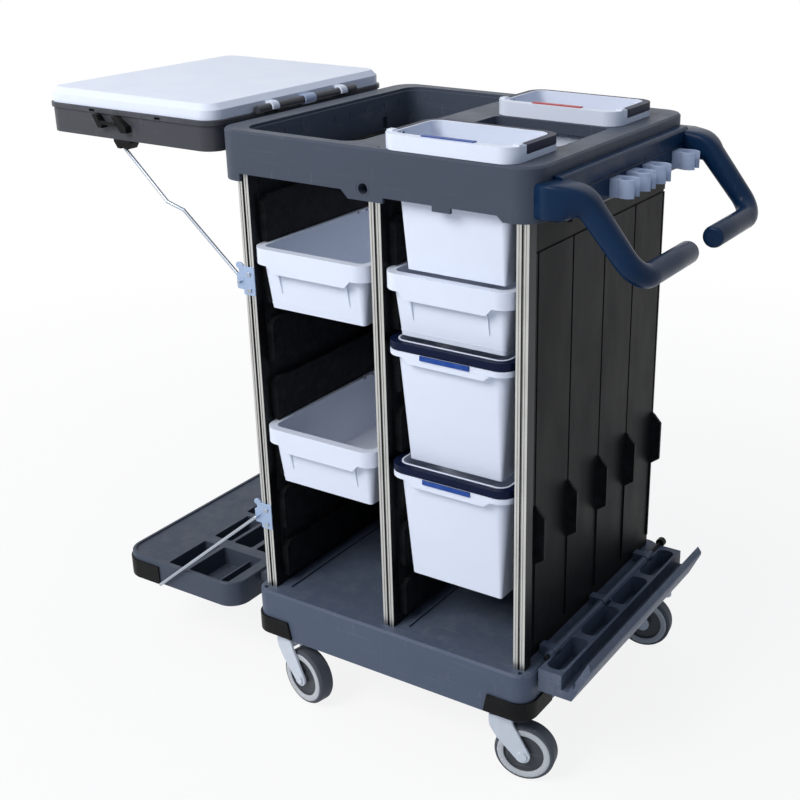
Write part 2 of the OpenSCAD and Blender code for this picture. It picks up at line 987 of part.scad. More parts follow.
// bail of the rear tray bucket
module bail_tray_rear() {
  color(black)
    at_cart()
      tray_place(top_rear_y)
        bail();
}

// bail of the upper rail bucket
module bail_upper() {
  color(black)
    at_cart()
      rail_place(4)
        bail();
}

// bail of the lower rail bucket
module bail_lower() {
  color(black)
    at_cart()
      rail_place(2)
        bail();
}

// colour clip hung over the inner edge of the rim, away from the bail
module rim_clip() {
  y = -(bucket_d - 23) / 2 + bin_t;
  translate([-42, y, bucket_rim_h - 12])
    cube([84, 2, 12]);
  translate([-42, y - 7, bucket_rim_h])
    cube([84, 9, 1.5]);
}

// colour clip on the apron under the bail
module apron_clip() {
  translate([-42, bucket_d / 2, 1.5])
    cube([84, 2.5, 7.5]);
}

// blue clip of the front tray bucket
module clip_tray_front() {
  color([0.06, 0.28, 0.62])
    at_cart()
      tray_place(top_front_y)
        rim_clip();
}

// red clip of the rear tray bucket
module clip_tray_rear() {
  color([0.70, 0.12, 0.12])
    at_cart()
      tray_place(top_rear_y)
        rim_clip();
}

// blue clip of the upper rail bucket
module clip_upper() {
  color([0.06, 0.28, 0.62])
    at_cart()
      rail_place(4)
        apron_clip();
}

// blue clip of the lower rail bucket
module clip_lower() {
  color([0.06, 0.28, 0.62])
    at_cart()
      rail_place(2)
        apron_clip();
}

// ring that holds the waste bag, with hinge knuckles and the lid bar
module bag_frame() {
  color([0.25, 0.26, 0.28])
    at_cart() {
      lid_bar();
      difference() {
        union() {
          translate([frame_cx, frame_cy, frame_z])
            linear_extrude(frame_h)
              rrect(frame_w, frame_d, frame_r);
          translate([frame_cx, frame_cy, frame_top - 7])
            linear_extrude(7)
              rrect(frame_w + 6, frame_d + 6, frame_r + 3);
          for (s = [-1, 1])
            translate([0, frame_cy + s * 150 - 14, 0]) {
              bar_y(frame_axis_x, frame_axis_z, 0, 28, 8);
              translate([frame_axis_x - 14, 0, frame_axis_z - 4])
                cube([14, 28, 12]);
            }
        }
        translate([frame_cx, frame_cy, frame_z - 1])
          linear_extrude(frame_h + 8)
            rrect(frame_w - 24, frame_d - 24, 6);
        for (s = [-1, 1], e = [-1, 1])
          translate([frame_x1 - 4, frame_cy + s * 150 + e * 18 - 4, frame_z - 1])
            cube([10, 8, 20]);
        for (x = [-70, 70])
          translate([frame_cx + x - 6, frame_cy - frame_d / 2 - 4, frame_top - 6])
            cube([12, 8, 4]);
        for (y = [-88, 0, 88])
          translate([bar_x - 13, frame_cy + y - 16, bar_z - 10])
            cube([30, 32, 20]);
        for (s = [-1, 1])
          bar_y(frame_axis_x, frame_axis_z, frame_cy + s * 150 - 30, 60, 4 + pin_play);
      }
    }
}

// bar along the cart side of the frame that the lid swings on
module lid_bar() {
  bar_y(bar_x, bar_z, frame_cy - 126, 252, bar_r);
  for (s = [-1, 1])
    translate([bar_x - 7, frame_cy + s * 120 - 5, frame_top - 2])
      cube([8, 10, 7]);
}

// folding grip on the front of the bag frame
module frame_grip() {
  color(black)
    at_cart()
      translate([frame_cx - 22, frame_cy - frame_d / 2, frame_z + 14]) {
        for (x = [-36, 28])
          translate([x, -latch_d + 2, -2])
            cube([8, latch_d - 2, 20]);
        translate([-36, -latch_d, -2])
          cube([72, 4, 14]);
      }
}

// fork under the bag frame that the strut rests in
module strut_clip() {
  color(black)
    at_cart()
      translate([frame_cx - 32, 0, frame_z]) {
        translate([0, frame_cy - frame_d / 2, -3])
          cube([36, strut_y + 8 - frame_cy + frame_d / 2, 3]);
        for (s = [-1, 1])
          translate([0, strut_y + s * 6 - 2, -14])
            cube([36, 4, 12]);
      }
}

// blue sleeve on the lid bar
module lid_marker() {
  color([0.45, 0.55, 0.70])
    at_cart()
      difference() {
        bar_y(bar_x, bar_z, frame_cy - 14, 28, bar_r + 2);
        bar_y(bar_x, bar_z, frame_cy - 20, 40, bar_r + pin_play);
      }
}

// pins of the bag frame hinge and of the platform hinge
module hinge_pins() {
  color(silver)
    at_cart()
      for (s = [-1, 1]) {
        bar_y(frame_axis_x, frame_axis_z, frame_cy + s * 150 - 22, 44, 4);
        bar_y(platform_axis_x, platform_axis_z, platform_cy + s * 130 - 24, 48, 4);
      }
}

// lid with two C clips round the bar
module bag_lid() {
  lw = frame_w - 1;
  lx = frame_x1 - frame_w + lw / 2;
  color(white)
    at_cart() {
      difference() {
        translate([lx, frame_cy, frame_top + slide_gap])
          bevel_slab(lw, frame_d - 2, lid_h, frame_r, 9);
        translate([lx, frame_cy, frame_top - 1])
          linear_extrude(lid_h - 3)
            rrect(lw - 24, frame_d - 26, frame_r - 12);
      }
      for (s = [-1, 1])
        translate([0, frame_cy + s * 88 - 8, 0])
          lid_clip(lx + lw / 2);
    }
}

// one C clip of the lid, open at the bottom
module lid_clip(edge_x) {
  difference() {
    union() {
      bar_y(bar_x, bar_z, 0, 16, 9);
      translate([edge_x - 20, 0, bar_z + 3])
        cube([bar_x - edge_x + 20, 16, 6]);
    }
    bar_y(bar_x, bar_z, -1, 18, bar_r + pin_play);
    translate([bar_x - 4, -1, bar_z - 12])
      cube([8, 18, 12]);
    translate([bar_x - 14, -1, bar_z - 12])
      cube([28, 18, 9]);
  }
}

// bent steel strut from the upper bracket to the bag frame
module bag_strut() {
  p = [[strut_x, strut_z], [strut_x - 113, strut_z + 97], [strut_x - 146, strut_z + 106],
    [frame_cx - 26, frame_z - 12]];
  color(silver)
    at_cart() {
      translate([0, strut_y, 0]) {
        for (k = [0:2])
          rod_xz(p[k], p[k + 1], rod_r);
        translate([strut_x, 0, strut_z])
          sphere(rod_r + 0.25);
      }
      bar_y(strut_x, strut_z, strut_y - 12, 12, rod_r);
    }
}

// fold-out platform with a raised rim and pockets
module bag_platform() {
  color(grey)
    at_cart()
      difference() {
        union() {
          translate([platform_cx, platform_cy, platform_z])
            bevel_slab(platform_w, platform_d, platform_h, 36, 2);
          for (s = [-1, 1])
            translate([0, platform_cy + s * 130 - 14.7, 0]) {
              bar_y(platform_axis_x, platform_axis_z, 0, 29.4, 9);
              translate([platform_x1 - 5, 0, platform_axis_z - 9])
                cube([platform_axis_x - platform_x1 + 5, 29.4, 18]);
            }
        }
        translate([platform_cx, platform_cy, platform_top - 3])
          linear_extrude(10)
            rrect(platform_w - 14, platform_d - 14, 29);
        platform_pockets();
        translate([platform_cx, platform_cy, platform_z - 1])
          linear_extrude(6)
            rrect(platform_w - 12, platform_d - 12, 30);
        for (s = [-1, 1])
          bar_y(platform_axis_x, platform_axis_z, platform_cy + s * 130 - 30, 60, 4 + pin_play);
      }
}

// pockets of the platform: two in front, the wider one with a low rib, three behind and one at the back
module platform_pockets() {
  row_a = 57.5;
  row_b = 176.5;
  platform_pocket(-12, row_a, 38, 97);
  platform_pocket(45.5, row_a, 57, 97);
  platform_pocket(92.5, row_a, 29, 97);
  translate([platform_cx + 62, platform_cy - platform_d / 2 + row_a, platform_top - 15])
    linear_extrude(50)
      rrect(90, 97, 4);
  platform_pocket(-9, row_b, 40, 95);
  platform_pocket(40, row_b, 42, 95);
  platform_pocket(89.5, row_b, 35, 95);
  platform_pocket(23, 306, 132, 140);
}

// one pocket at x from the platform's middle and y from its front edge
module platform_pocket(x, y, w, d) {
  translate([platform_cx + x, platform_cy - platform_d / 2 + y, platform_z + 9])
    linear_extrude(60)
      rrect(w, d, 4);
}

// rubber bumpers on the platform's outer corners
module platform_bumpers() {
  x0 = platform_x1 - platform_w;
  color(black)
    at_cart()
      for (s = [-1, 1])
        intersection() {
          translate([platform_cx, platform_cy, platform_z - 1])
            linear_extrude(platform_h - 11)
              difference() {
                rrect(platform_w + 6, platform_d + 6, 39);
                rrect(platform_w, platform_d, 36);
              }
          translate([x0 - 10, platform_cy + s * platform_d / 2 - 60, platform_z - 10])
            cube([96, 120, 60]);
        }
}

// straight steel stay from the lower bracket to the platform
module platform_stay() {
  a = [strut_x, stay_z];
  b = [platform_cx - 40, platform_z + 4];
  color(silver)
    at_cart() {
      translate([0, stay_y, 0]) {
        rod_xz(a, b, rod_r);
        translate([strut_x, 0, stay_z])
          sphere(rod_r + 0.25);
      }
      bar_y(strut_x, stay_z, stay_y, 14, rod_r);
    }
}

// two plates on the front left post that hold the strut and the stay
module strut_brackets() {
  color(silver)
    at_cart()
      for (z = [strut_z, stay_z])
        difference() {
          plate_xz(plate_y - 2, 2)
            translate([-bay_pitch, z])
              polygon([[-25, -10], [-10, -10], [-10, -20], [11, -20], [11, 26], [-10, 26], [-16, 31],
                [-25, 31], [-25, 24], [-18, 22], [-14, 12], [-25, 10]]);
          bar_y(strut_x, z, plate_y - 10, 20, rod_r + pin_play);
          for (k = [-12, 14])
            bar_y(-bay_pitch, z + k, plate_y - 10, 20, 2.5);
        }
}

// screws of the two plates
module bracket_screws() {
  color(silver)
    at_cart()
      for (z = [strut_z, stay_z], k = [-12, 14]) {
        bar_y(-bay_pitch, z + k, plate_y - 2, 6, 1.9);
        bar_y(-bay_pitch, z + k, plate_y - 4, 2, 4);
      }
}

// steel stems with washers in the base bosses
module caster_stems() {
  color(silver)
    at_cart()
      for (x = [-1, 1], y = [-1, 1])
        translate([x * caster_x, y * caster_y, 0]) {
          translate([0, 0, caster_h - 11])
            cylinder(h = 51, r = stem_r);
          translate([0, 0, caster_h - 1])
            cylinder(h = 1, r = 15);
        }
}

// places a caster part; its swivel axis is X 0 Y 0 and it trails toward +X
module caster_place(sx, sy, turn) {
  translate([sx * caster_x, sy * caster_y, 0])
    rotate([0, 0, turn])
      children();
}

// fork with two swept arms and the axle
module fork() {
  z1 = caster_h - 1 - slide_gap;
  az = wheel_d / 2;
  difference() {
    union() {
      translate([0, 0, z1 - 14])
        cylinder(h = 14, r = 21);
      translate([-19, -fork_in - 4, z1 - 18])
        cube([36, 2 * fork_in + 8, 14]);
      for (y = [-fork_in - 4, fork_in])
        plate_xz(y, 4) {
          polygon([[-19, z1 - 4], [17, z1 - 4], [22, z1 - 18], [trail + 11.4, az + 5.1],
            [trail - 10.2, az - 7.2], [-6, z1 - 44], [-18, z1 - 24]]);
          translate([trail, az])
            circle(12.5);
        }
      bar_y(trail, az, -fork_in - 6, 2 * fork_in + 12, axle_r);
      for (y = [-fork_in - 7, fork_in + 4])
        bar_y(trail, az, y, 3, 8);
    }
    translate([0, 0, z1 - 11])
      cylinder(h = 30, r = stem_r + pin_play);
  }
}

// tyre of one wheel
module tyre() {
  h = wheel_w / 2;
  r = wheel_d / 2;
  translate([trail, 0, r])
    rotate([90, 0, 0])
      rotate_extrude()
        polygon([[r - 9, -h], [r - 3, -h], [r, 4 - h], [r, h - 4], [r - 3, h], [r - 9, h]]);
}

// hub of one wheel with a raised side ring
module hub() {
  h = wheel_w / 2;
  r = wheel_d / 2;
  b = axle_r + pin_play;
  translate([trail, 0, r])
    rotate([90, 0, 0])
      rotate_extrude()
        polygon([[b, -h - 2], [11, -h - 2], [11, 4 - h], [r - 17, 4 - h], [r - 16, -h], [r - 9, -h],
          [r - 9, h], [r - 16, h], [r - 17, h - 4], [11, h - 4], [11, h + 2], [b, h + 2]]);
}

// brake lever over the wheel
module pedal() {
  z1 = caster_h - 1 - slide_gap;
  difference() {
    union() {
      bar_y(pedal_x, z1 - 8, -9, 18, 4);
      translate([pedal_x, -9, z1 - 10])
        cube([46, 18, 5]);
      translate([74, 0, z1 - 12])
        cylinder(h = 9, r = 10);
    }
    bar_y(pedal_x, z1 - 8, -20, 40, 2 + pin_play);
  }
}

// fork of a braked caster, with the lever's pin
module brake_fork() {
  z1 = caster_h - 1 - slide_gap;
  fork();
  bar_y(pedal_x, z1 - 8, -fork_in, 2 * fork_in, 2);
  for (y = [-fork_in - 4, fork_in - 6])
    translate([14, y, z1 - 12])
      cube([pedal_x - 10, 10, 8]);
}

// front left fork
module caster_fork_fl() {
  color([0.76, 0.78, 0.80])
    at_cart()
      caster_place(-1, -1, caster_turn[0])
        fork();
}

// front right fork
module caster_fork_fr() {
  color([0.76, 0.78, 0.80])
    at_cart()
      caster_place(1, -1, caster_turn[1])
        fork();
}

// rear left fork
module caster_fork_rl() {
  color([0.76, 0.78, 0.80])
    at_cart()
      caster_place(-1, 1, caster_turn[2])
        brake_fork();
}

// rear right fork
module caster_fork_rr() {
  color([0.76, 0.78, 0.80])
    at_cart()
      caster_place(1, 1, caster_turn[3])
        brake_fork();
}

// front left tyre
module caster_tyre_fl() {
  color([0.35, 0.37, 0.39])
    at_cart()
      caster_place(-1, -1, caster_turn[0])
        tyre();
}

// front right tyre
module caster_tyre_fr() {
  color([0.35, 0.37, 0.39])
    at_cart()
      caster_place(1, -1, caster_turn[1])
        tyre();
}

// rear left tyre
module caster_tyre_rl() {
  color([0.35, 0.37, 0.39])
    at_cart()
      caster_place(-1, 1, caster_turn[2])
        tyre();
}

// rear right tyre
module caster_tyre_rr() {
  color([0.35, 0.37, 0.39])
    at_cart()
      caster_place(1, 1, caster_turn[3])
        tyre();
}

// front left hub
module caster_hub_fl() {
  color([0.80, 0.82, 0.84])
    at_cart()
      caster_place(-1, -1, caster_turn[0])
        hub();
}

// front right hub
module caster_hub_fr() {
  color([0.80, 0.82, 0.84])
    at_cart()
      caster_place(1, -1, caster_turn[1])
        hub();
}

// rear left hub
module caster_hub_rl() {
  color([0.80, 0.82, 0.84])
    at_cart()
      caster_place(-1, 1, caster_turn[2])
        hub();
}

// rear right hub
module caster_hub_rr() {
  color([0.80, 0.82, 0.84])
    at_cart()
      caster_place(1, 1, caster_turn[3])
        hub();
}

// brake lever of the rear left caster
module brake_pedal_rl() {
  color([0.76, 0.78, 0.80])
    at_cart()
      caster_place(-1, 1, caster_turn[2])
        pedal();
}

// brake lever of the rear right caster
module brake_pedal_rr() {
  color([0.76, 0.78, 0.80])
    at_cart()
      caster_place(1, 1, caster_turn[3])
        pedal();
}

base_deck();
corner_bumpers();
front_posts();
rear_posts();
left_panel();
centre_panel();
right_panel();
back_panel();
panel_rails();
top_tray();
tool_socket();
handle_rail();
handle_arm_front();
handle_arm_rear();
handle_knobs();
mop_clips();
mop_tray();
mop_tray_pin();
drawer_left_upper();
drawer_left_lower();
drawer_right();
bucket_tray_front();
bucket_tray_rear();
bucket_upper();
bucket_lower();
bail_tray_front();
bail_tray_rear();
bail_upper();
bail_lower();
clip_tray_front();
clip_tray_rear();
clip_upper();
clip_lower();
bag_frame();
frame_grip();
strut_clip();
lid_marker();
hinge_pins();
bag_lid();
bag_strut();
bag_platform();
platform_bumpers();
platform_stay();
strut_brackets();
bracket_screws();
caster_stems();
caster_fork_fl();
caster_fork_fr();
caster_fork_rl();
caster_fork_rr();
caster_tyre_fl();
caster_tyre_fr();
caster_tyre_rl();
caster_tyre_rr();
caster_hub_fl();
caster_hub_fr();
caster_hub_rl();
caster_hub_rr();
brake_pedal_rl();
brake_pedal_rr();
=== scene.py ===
"""Looks of the janitor cart: finishes, soft edges, small hardware and a studio stage."""

import math

import bmesh
import bpy
from bpy.props import FloatProperty, FloatVectorProperty, PointerProperty
from mathutils import Matrix, Vector


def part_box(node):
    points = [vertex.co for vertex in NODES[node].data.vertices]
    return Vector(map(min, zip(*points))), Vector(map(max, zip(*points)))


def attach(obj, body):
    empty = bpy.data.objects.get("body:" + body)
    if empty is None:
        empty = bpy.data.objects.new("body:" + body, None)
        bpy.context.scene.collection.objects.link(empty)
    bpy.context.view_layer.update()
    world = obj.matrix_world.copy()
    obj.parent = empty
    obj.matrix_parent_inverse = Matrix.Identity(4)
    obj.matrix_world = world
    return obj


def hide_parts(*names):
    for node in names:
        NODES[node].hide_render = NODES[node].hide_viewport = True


bl_info = {
    "name": "Janitor Cart Dresser",
    "version": (1, 0, 0),
    "blender": (4, 5, 0),
    "location": "View3D > Sidebar > Cart",
    "description": "Dresses the packed janitor cart with finishes and small hardware",
    "category": "Object",
}

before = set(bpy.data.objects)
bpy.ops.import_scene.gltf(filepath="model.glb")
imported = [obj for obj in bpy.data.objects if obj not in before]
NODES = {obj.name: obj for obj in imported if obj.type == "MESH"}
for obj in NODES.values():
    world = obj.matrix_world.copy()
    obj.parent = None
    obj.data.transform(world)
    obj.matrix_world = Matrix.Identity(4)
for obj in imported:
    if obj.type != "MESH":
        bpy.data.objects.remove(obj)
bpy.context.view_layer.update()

MM = 0.001
MM_PER_METRE = 1000

# Node editor: distance between columns and rows, and the rows in use
COLUMN_STEP, ROW_STEP, ROWS = 190, 140, 3

# Edge rounding: gap that counts as a seam, turns that count as flat and as an edge, steps across a rounding
SEAM_GAP = 0.00001
FLAT_TURN = math.radians(0.4)
EDGE_TURN = math.radians(32.0)
EDGE_STEPS = 2

# Bump depths in metres and scuff lengths of the two kinds of finish
GRAIN_DEPTH, LINE_DEPTH = 0.0004, 0.0003
PLASTIC_SCUFFS, METAL_SCUFFS = 9.0, 14.0
DUST = (0.52, 0.51, 0.49)
TARNISH = (0.30, 0.29, 0.27)
WHITE = (1.0, 1.0, 1.0)

# Camera: azimuth, elevation and roll in degrees, place in metres, lens in pixels of the square picture
CAMERA_ANGLES = (30.636, 22.571, 0.194)
CAMERA_PLACE = (1.1877, -1.6961, 1.3546)
CAMERA_SHIFT = -0.125
FOCAL_PIXELS, PICTURE_PIXELS = 1298.2, 800
SENSOR_WIDTH = 36.0

# Stage: colour and strength of the sky, and name, place, aim, size, watts and colour of each soft box
SKY, SKY_STRENGTH = (0.64, 0.77, 1.0), 0.29
LIGHTS = (
    ("key", (-0.9, -2.9, 3.15), (0.1, 0.0, 0.5), (2.2, 1.6), 102.0, (1.0, 0.99, 0.98)),
    ("fill", (-2.8, -1.8, 1.6), (0.0, 0.0, 0.5), (2.0, 2.0), 18.0, (0.95, 0.97, 1.0)),
    ("side", (3.4, 0.8, 1.5), (0.2, 0.0, 0.5), (1.2, 2.0), 3.0, WHITE),
    ("top", (0.0, 0.6, 3.6), (0.0, 0.0, 0.6), (2.4, 2.0), 11.0, WHITE),
)

# Floor: cells along a side, drop under the wheels, share of white near the cart and where it fades to full
FLOOR_CELLS = 8
FLOOR_DROP = 0.0005
NEAR_WHITE = 0.87
FADE_START, FADE_END = 0.7, 2.6

# Push arms in millimetres: distance from the middle, slope, bend radius, and X and Z of the bend and the elbow
ARM_SIDE = 208.0
ARM_SLOPE = math.radians(50)
ARM_BEND = 34.0
ROOT_Z = 943.0
BEND_X, BEND_Z = 418.4, 946.0
BEND_OUT, BEND_DROP = 6, 3
ELBOW_X, ELBOW_Z = 494.65, 874.05
BEND_STEPS, SLOPE_STEPS, ELBOW_STEPS = 8, 6, 10
RING_POINTS = 40
# Half width, half height and squareness of an arm at the bend, under the bend and at the elbow
BEND_FORM, SLOPE_FORM, ELBOW_FORM = (24.4, 23.6, 5.6), (17.2, 17.5, 2.7), (16.8, 16.8, 2.0)
# X, outward offset, half width, half height and squareness of the rings of an arm's root
ROOT_RINGS = ((375.0, 8.0, 27.0, 24.6, 9.0), (400.0, 8.0, 27.0, 24.6, 9.0), (409.0, 7.0, 25.6, 24.2, 7.0))
# Reach and radius of the rings of a grip and its domed end
GRIP_RINGS = ((3, 16.7), (5, 16.6), (60, 16.6), (126, 16.6), (129.5, 15.8), (131.4, 13.6), (132, 11.0), (132, 6.0))
ROUND = 2.0

# Pull of the bag frame in millimetres: outlines in X and Z, and Y of their fronts and backs
PULL_LEFT = ((-415.8, 984.0), (-406.5, 983.4), (-395.5, 969.5), (-396.5, 963.5), (-405.0, 963.8))
PULL_RIGHT = ((-374.8, 984.0), (-365.0, 983.4), (-344.0, 970.0), (-343.6, 960.4), (-356.0, 959.8))
PULL_BAR = ((-404.0, 975.0), (-366.0, 975.0), (-363.0, 969.6), (-400.0, 969.6))
LEG_FRONT, LEG_BACK = -254.0, -241.5
BAR_FRONT, BAR_BACK = -255.0, -250.0

# Clip under the bag frame: outline from the middle of its top
ROD_CLIP = (
    (-18.0, 0.0), (18.0, 0.0), (18.0, -3.5), (11.0, -14.0), (3.6, -14.0), (2.8, -10.5), (-2.8, -10.5),
    (-3.6, -14.0), (-11.0, -14.0), (-18.0, -3.5),
)

# Plates of the rods: outlines of a plate and its ear, their reach and the ear's offsets at its front and back
PLATE = (
    (-10.0, -20.0), (9.5, -20.0), (11.0, -18.5), (11.0, 24.5), (9.5, 26.0), (-10.0, 26.0), (-11.5, 24.5),
    (-11.5, -18.5),
)
EAR = (
    (-23.0, -12.0), (-11.0, -12.0), (-11.0, 28.0), (-15.0, 31.0), (-22.0, 31.0), (-25.0, 28.0), (-25.0, 23.0),
    (-20.5, 21.0), (-19.5, 15.0), (-25.0, 12.0), (-25.0, -10.0),
)
PLATE_RIGHT, PLATE_FOOT, EAR_TOP = 11.0, 20.0, 31.0
EAR_FRONT, EAR_BACK = 0.4, 0.8

# Casters in millimetres: middle of the base, stem places, trail, axle height, and each corner's sides and turn
BASE_MIDDLE_X = 113.5
STEM_X, STEM_Y = 212, 224
CASTER_TRAIL = 37
AXLE_Z = 50.0
CASTER_TURNS = {"fl": (-1, -1, -12.0), "fr": (1, -1, 12.0), "rl": (-1, 1, -8.0), "rr": (1, 1, 10.0)}
# Radius and distance from the wheel's middle along the outline of its pale ring
RIM_PROFILE = ((33.4, 13.0), (33.6, 14.3), (34.4, 15.0), (41.0, 15.2), (43.2, 14.9), (44.0, 14.2), (44.1, 13.0))
RIM_STEPS = 64


def srgb(red, green, blue):
    """Turns a colour on the 0 to 255 scale of a screen into Blender's linear colour."""
    out = []
    for value in (red, green, blue):
        share = value / 255
        out.append(share / 12.92 if share <= 0.04045 else ((share + 0.055) / 1.055) ** 2.4)
    return tuple(out)


def colour_prop(name, description, default):
    """One colour that a user can change."""
    return FloatVectorProperty(
        name=name, description=description, subtype="COLOR", size=3, min=0.0, max=1.0, default=default
    )


def edge_prop(name, description, default):
    """One edge rounding that a user can change."""
    return FloatProperty(
        name=name, description=description, subtype="DISTANCE", unit="LENGTH", min=0.0, max=0.004, default=default
    )


class CartColours(bpy.types.PropertyGroup):
    """Colours of the cart's finishes."""

    moulded: colour_prop("Moulded grey", "Tray and platform", srgb(72, 79, 92))
    # Base grey is lighter than the moulded grey as painted light, standing in for light from above on the base and the
    # mop tray
    base: colour_prop("Base grey", "Base and mop tray", srgb(83, 93, 111))
    panel: colour_prop("Panel charcoal", "Side panels, divider and rails", srgb(19, 20, 22))
    holder: colour_prop("Bag frame", "Ring under the lid", srgb(66, 68, 73))
    bins: colour_prop("Bins", "Drawers, buckets and lid", srgb(232, 238, 251))
    handle: colour_prop("Handle", "Push handle and its rail", srgb(13, 40, 70))
    clips: colour_prop("Mop clips", "Jaws that hold mop handles and the sleeve at the lid", srgb(172, 186, 212))
    bails: colour_prop("Bails", "Bucket handles", srgb(14, 24, 52))
    blue_mark: colour_prop("Blue mark", "Blue colour clips", srgb(8, 62, 146))
    red_mark: colour_prop("Red mark", "Red colour clip", srgb(176, 34, 38))
    black: colour_prop("Black", "Bumpers, knobs, pull and rod clip", srgb(19, 19, 20))
    posts: colour_prop("Posts", "Drawn aluminium", srgb(203, 204, 202))
    zinc: colour_prop("Zinc", "Plates of the strut and the stay", srgb(170, 190, 220))
    steel: colour_prop("Steel", "Plated rods, pins, stems and screws", srgb(176, 184, 196))
    forks: colour_prop("Forks", "Caster forks and brake levers", srgb(212, 218, 226))
    tyres: colour_prop("Tyres", "Caster treads", srgb(78, 82, 90))
    rims: colour_prop("Rims", "Pale ring of each wheel", srgb(196, 199, 202))
    hubs: colour_prop("Hubs", "Wheel centres", srgb(72, 76, 81))


class CartSizes(bpy.types.PropertyGroup):
    """Edge roundings of the cart and the size of its floor."""

    drawer_edge: edge_prop("Drawer edge", "Rounding of drawers and brake levers", 0.0002)
    sheet_edge: edge_prop("Sheet edge", "Rounding of panels, buckets, plates, forks and the bag frame", 0.0003)
    thin_edge: edge_prop("Thin edge", "Rounding of the base, the mop tray, posts and rods", 0.0004)
    crisp_edge: edge_prop("Crisp edge", "Rounding of the top tray, mop clips and colour clips", 0.0005)
    eased_edge: edge_prop("Eased edge", "Rounding of bails, the lid and small mouldings", 0.0006)
    round_edge: edge_prop("Round edge", "Rounding of the rail, knobs, pull, platform and hubs", 0.0008)
    bumper_edge: edge_prop("Bumper edge", "Rounding of the corner bumpers", 0.001)
    tyre_edge: edge_prop("Tyre edge", "Rounding of the caster treads", 0.0012)
    floor_reach: FloatProperty(
        name="Floor reach", description="Half width of the floor", subtype="DISTANCE", unit="LENGTH",
        min=2.0, max=60.0, default=30.0)


def colours():
    """Colours chosen in the sidebar."""
    return bpy.context.scene.cart_colours


def sizes():
    """Sizes chosen in the sidebar."""
    return bpy.context.scene.cart_sizes


class Wires:
    """Places nodes in a tree from left to right and joins their sockets."""

    def __init__(self, tree):
        self.tree = tree
        self.column = 0

    def add(self, kind, **values):
        """Adds a node; a value whose name is a socket is set or joined there."""
        node = self.tree.nodes.new(kind)
        node.location = (self.column * COLUMN_STEP, -ROW_STEP * (self.column % ROWS))
        self.column += 1
        for name, value in values.items():
            if hasattr(node, name) and name not in node.inputs:
                setattr(node, name, value)
            else:
                self.feed(node, name, value)
        return node

    def feed(self, node, name, value):
        """Sets a socket, or joins it if the value is another socket."""
        key = int(name[1:]) if name[0] == "i" and name[1:].isdigit() else name.replace("_", " ")
        socket = node.inputs[key]
        if isinstance(value, bpy.types.NodeSocket):
            self.tree.links.new(value, socket)
        elif hasattr(socket.default_value, "__len__") and len(socket.default_value) == 4 and len(value) == 3:
            socket.default_value = (*value, 1.0)
        else:
            socket.default_value = value

    def math(self, operation, first, second=0.5, clamp=False):
        """Result of one sum."""
        node = self.add("ShaderNodeMath", operation=operation, i0=first, i1=second)
        node.use_clamp = clamp
        return node.outputs[0]

    def scaled(self, colour, factor):
        """Colour made lighter or darker by a factor."""
        node = self.add("ShaderNodeVectorMath", operation="SCALE")
        self.tree.links.new(colour, node.inputs[0])
        self.tree.links.new(factor, node.inputs["Scale"])
        return node.outputs[0]

    def ramp(self, value, low, high, to_low=0.0, to_high=1.0):
        """Spreads low to high over to_low to to_high, clamped."""
        node = self.add("ShaderNodeMapRange", i0=value, i1=low, i2=high, i3=to_low, i4=to_high)
        return node.outputs[0]

    def mix(self, share, first, second):
        """Colour between two colours."""
        node = self.add("ShaderNodeMix", data_type="RGBA")
        self.feed(node, "i0", share)
        self.feed(node, "i6", first)
        self.feed(node, "i7", second)
        return node.outputs[2]

    def noise(self, where, scale, detail, rough=0.5):
        """Grey noise over the surface."""
        node = self.add("ShaderNodeTexNoise", Vector=where, Scale=scale, Detail=detail, Roughness=rough)
        return node.outputs[0]

    def stretched(self, where, scale):
        """Coordinates stretched by three factors."""
        node = self.add("ShaderNodeMapping", Vector=where)
        node.inputs["Scale"].default_value = scale
        return node.outputs[0]

    def place(self):
        """Coordinates of the piece itself."""
        return self.add("ShaderNodeTexCoord").outputs["Object"]


def open_group(name, inputs, outputs):
    """New shader node group with named sockets, and with it its wire placer and the values given to it."""
    tree = bpy.data.node_groups.new(name, "ShaderNodeTree")
    for label, kind, default in inputs:
        socket = tree.interface.new_socket(name=label, in_out="INPUT", socket_type=kind)
        socket.default_value = (*default, 1.0) if kind == "NodeSocketColor" else default
    for label, kind in outputs:
        tree.interface.new_socket(name=label, in_out="OUTPUT", socket_type=kind)
    wires = Wires(tree)
    entry = wires.add("NodeGroupInput")
    return tree, wires, entry.outputs


def close_group(wires, **results):
    """Joins the results to the group's outputs."""
    leave = wires.add("NodeGroupOutput")
    for label, socket in results.items():
        wires.tree.links.new(socket, leave.inputs[label])


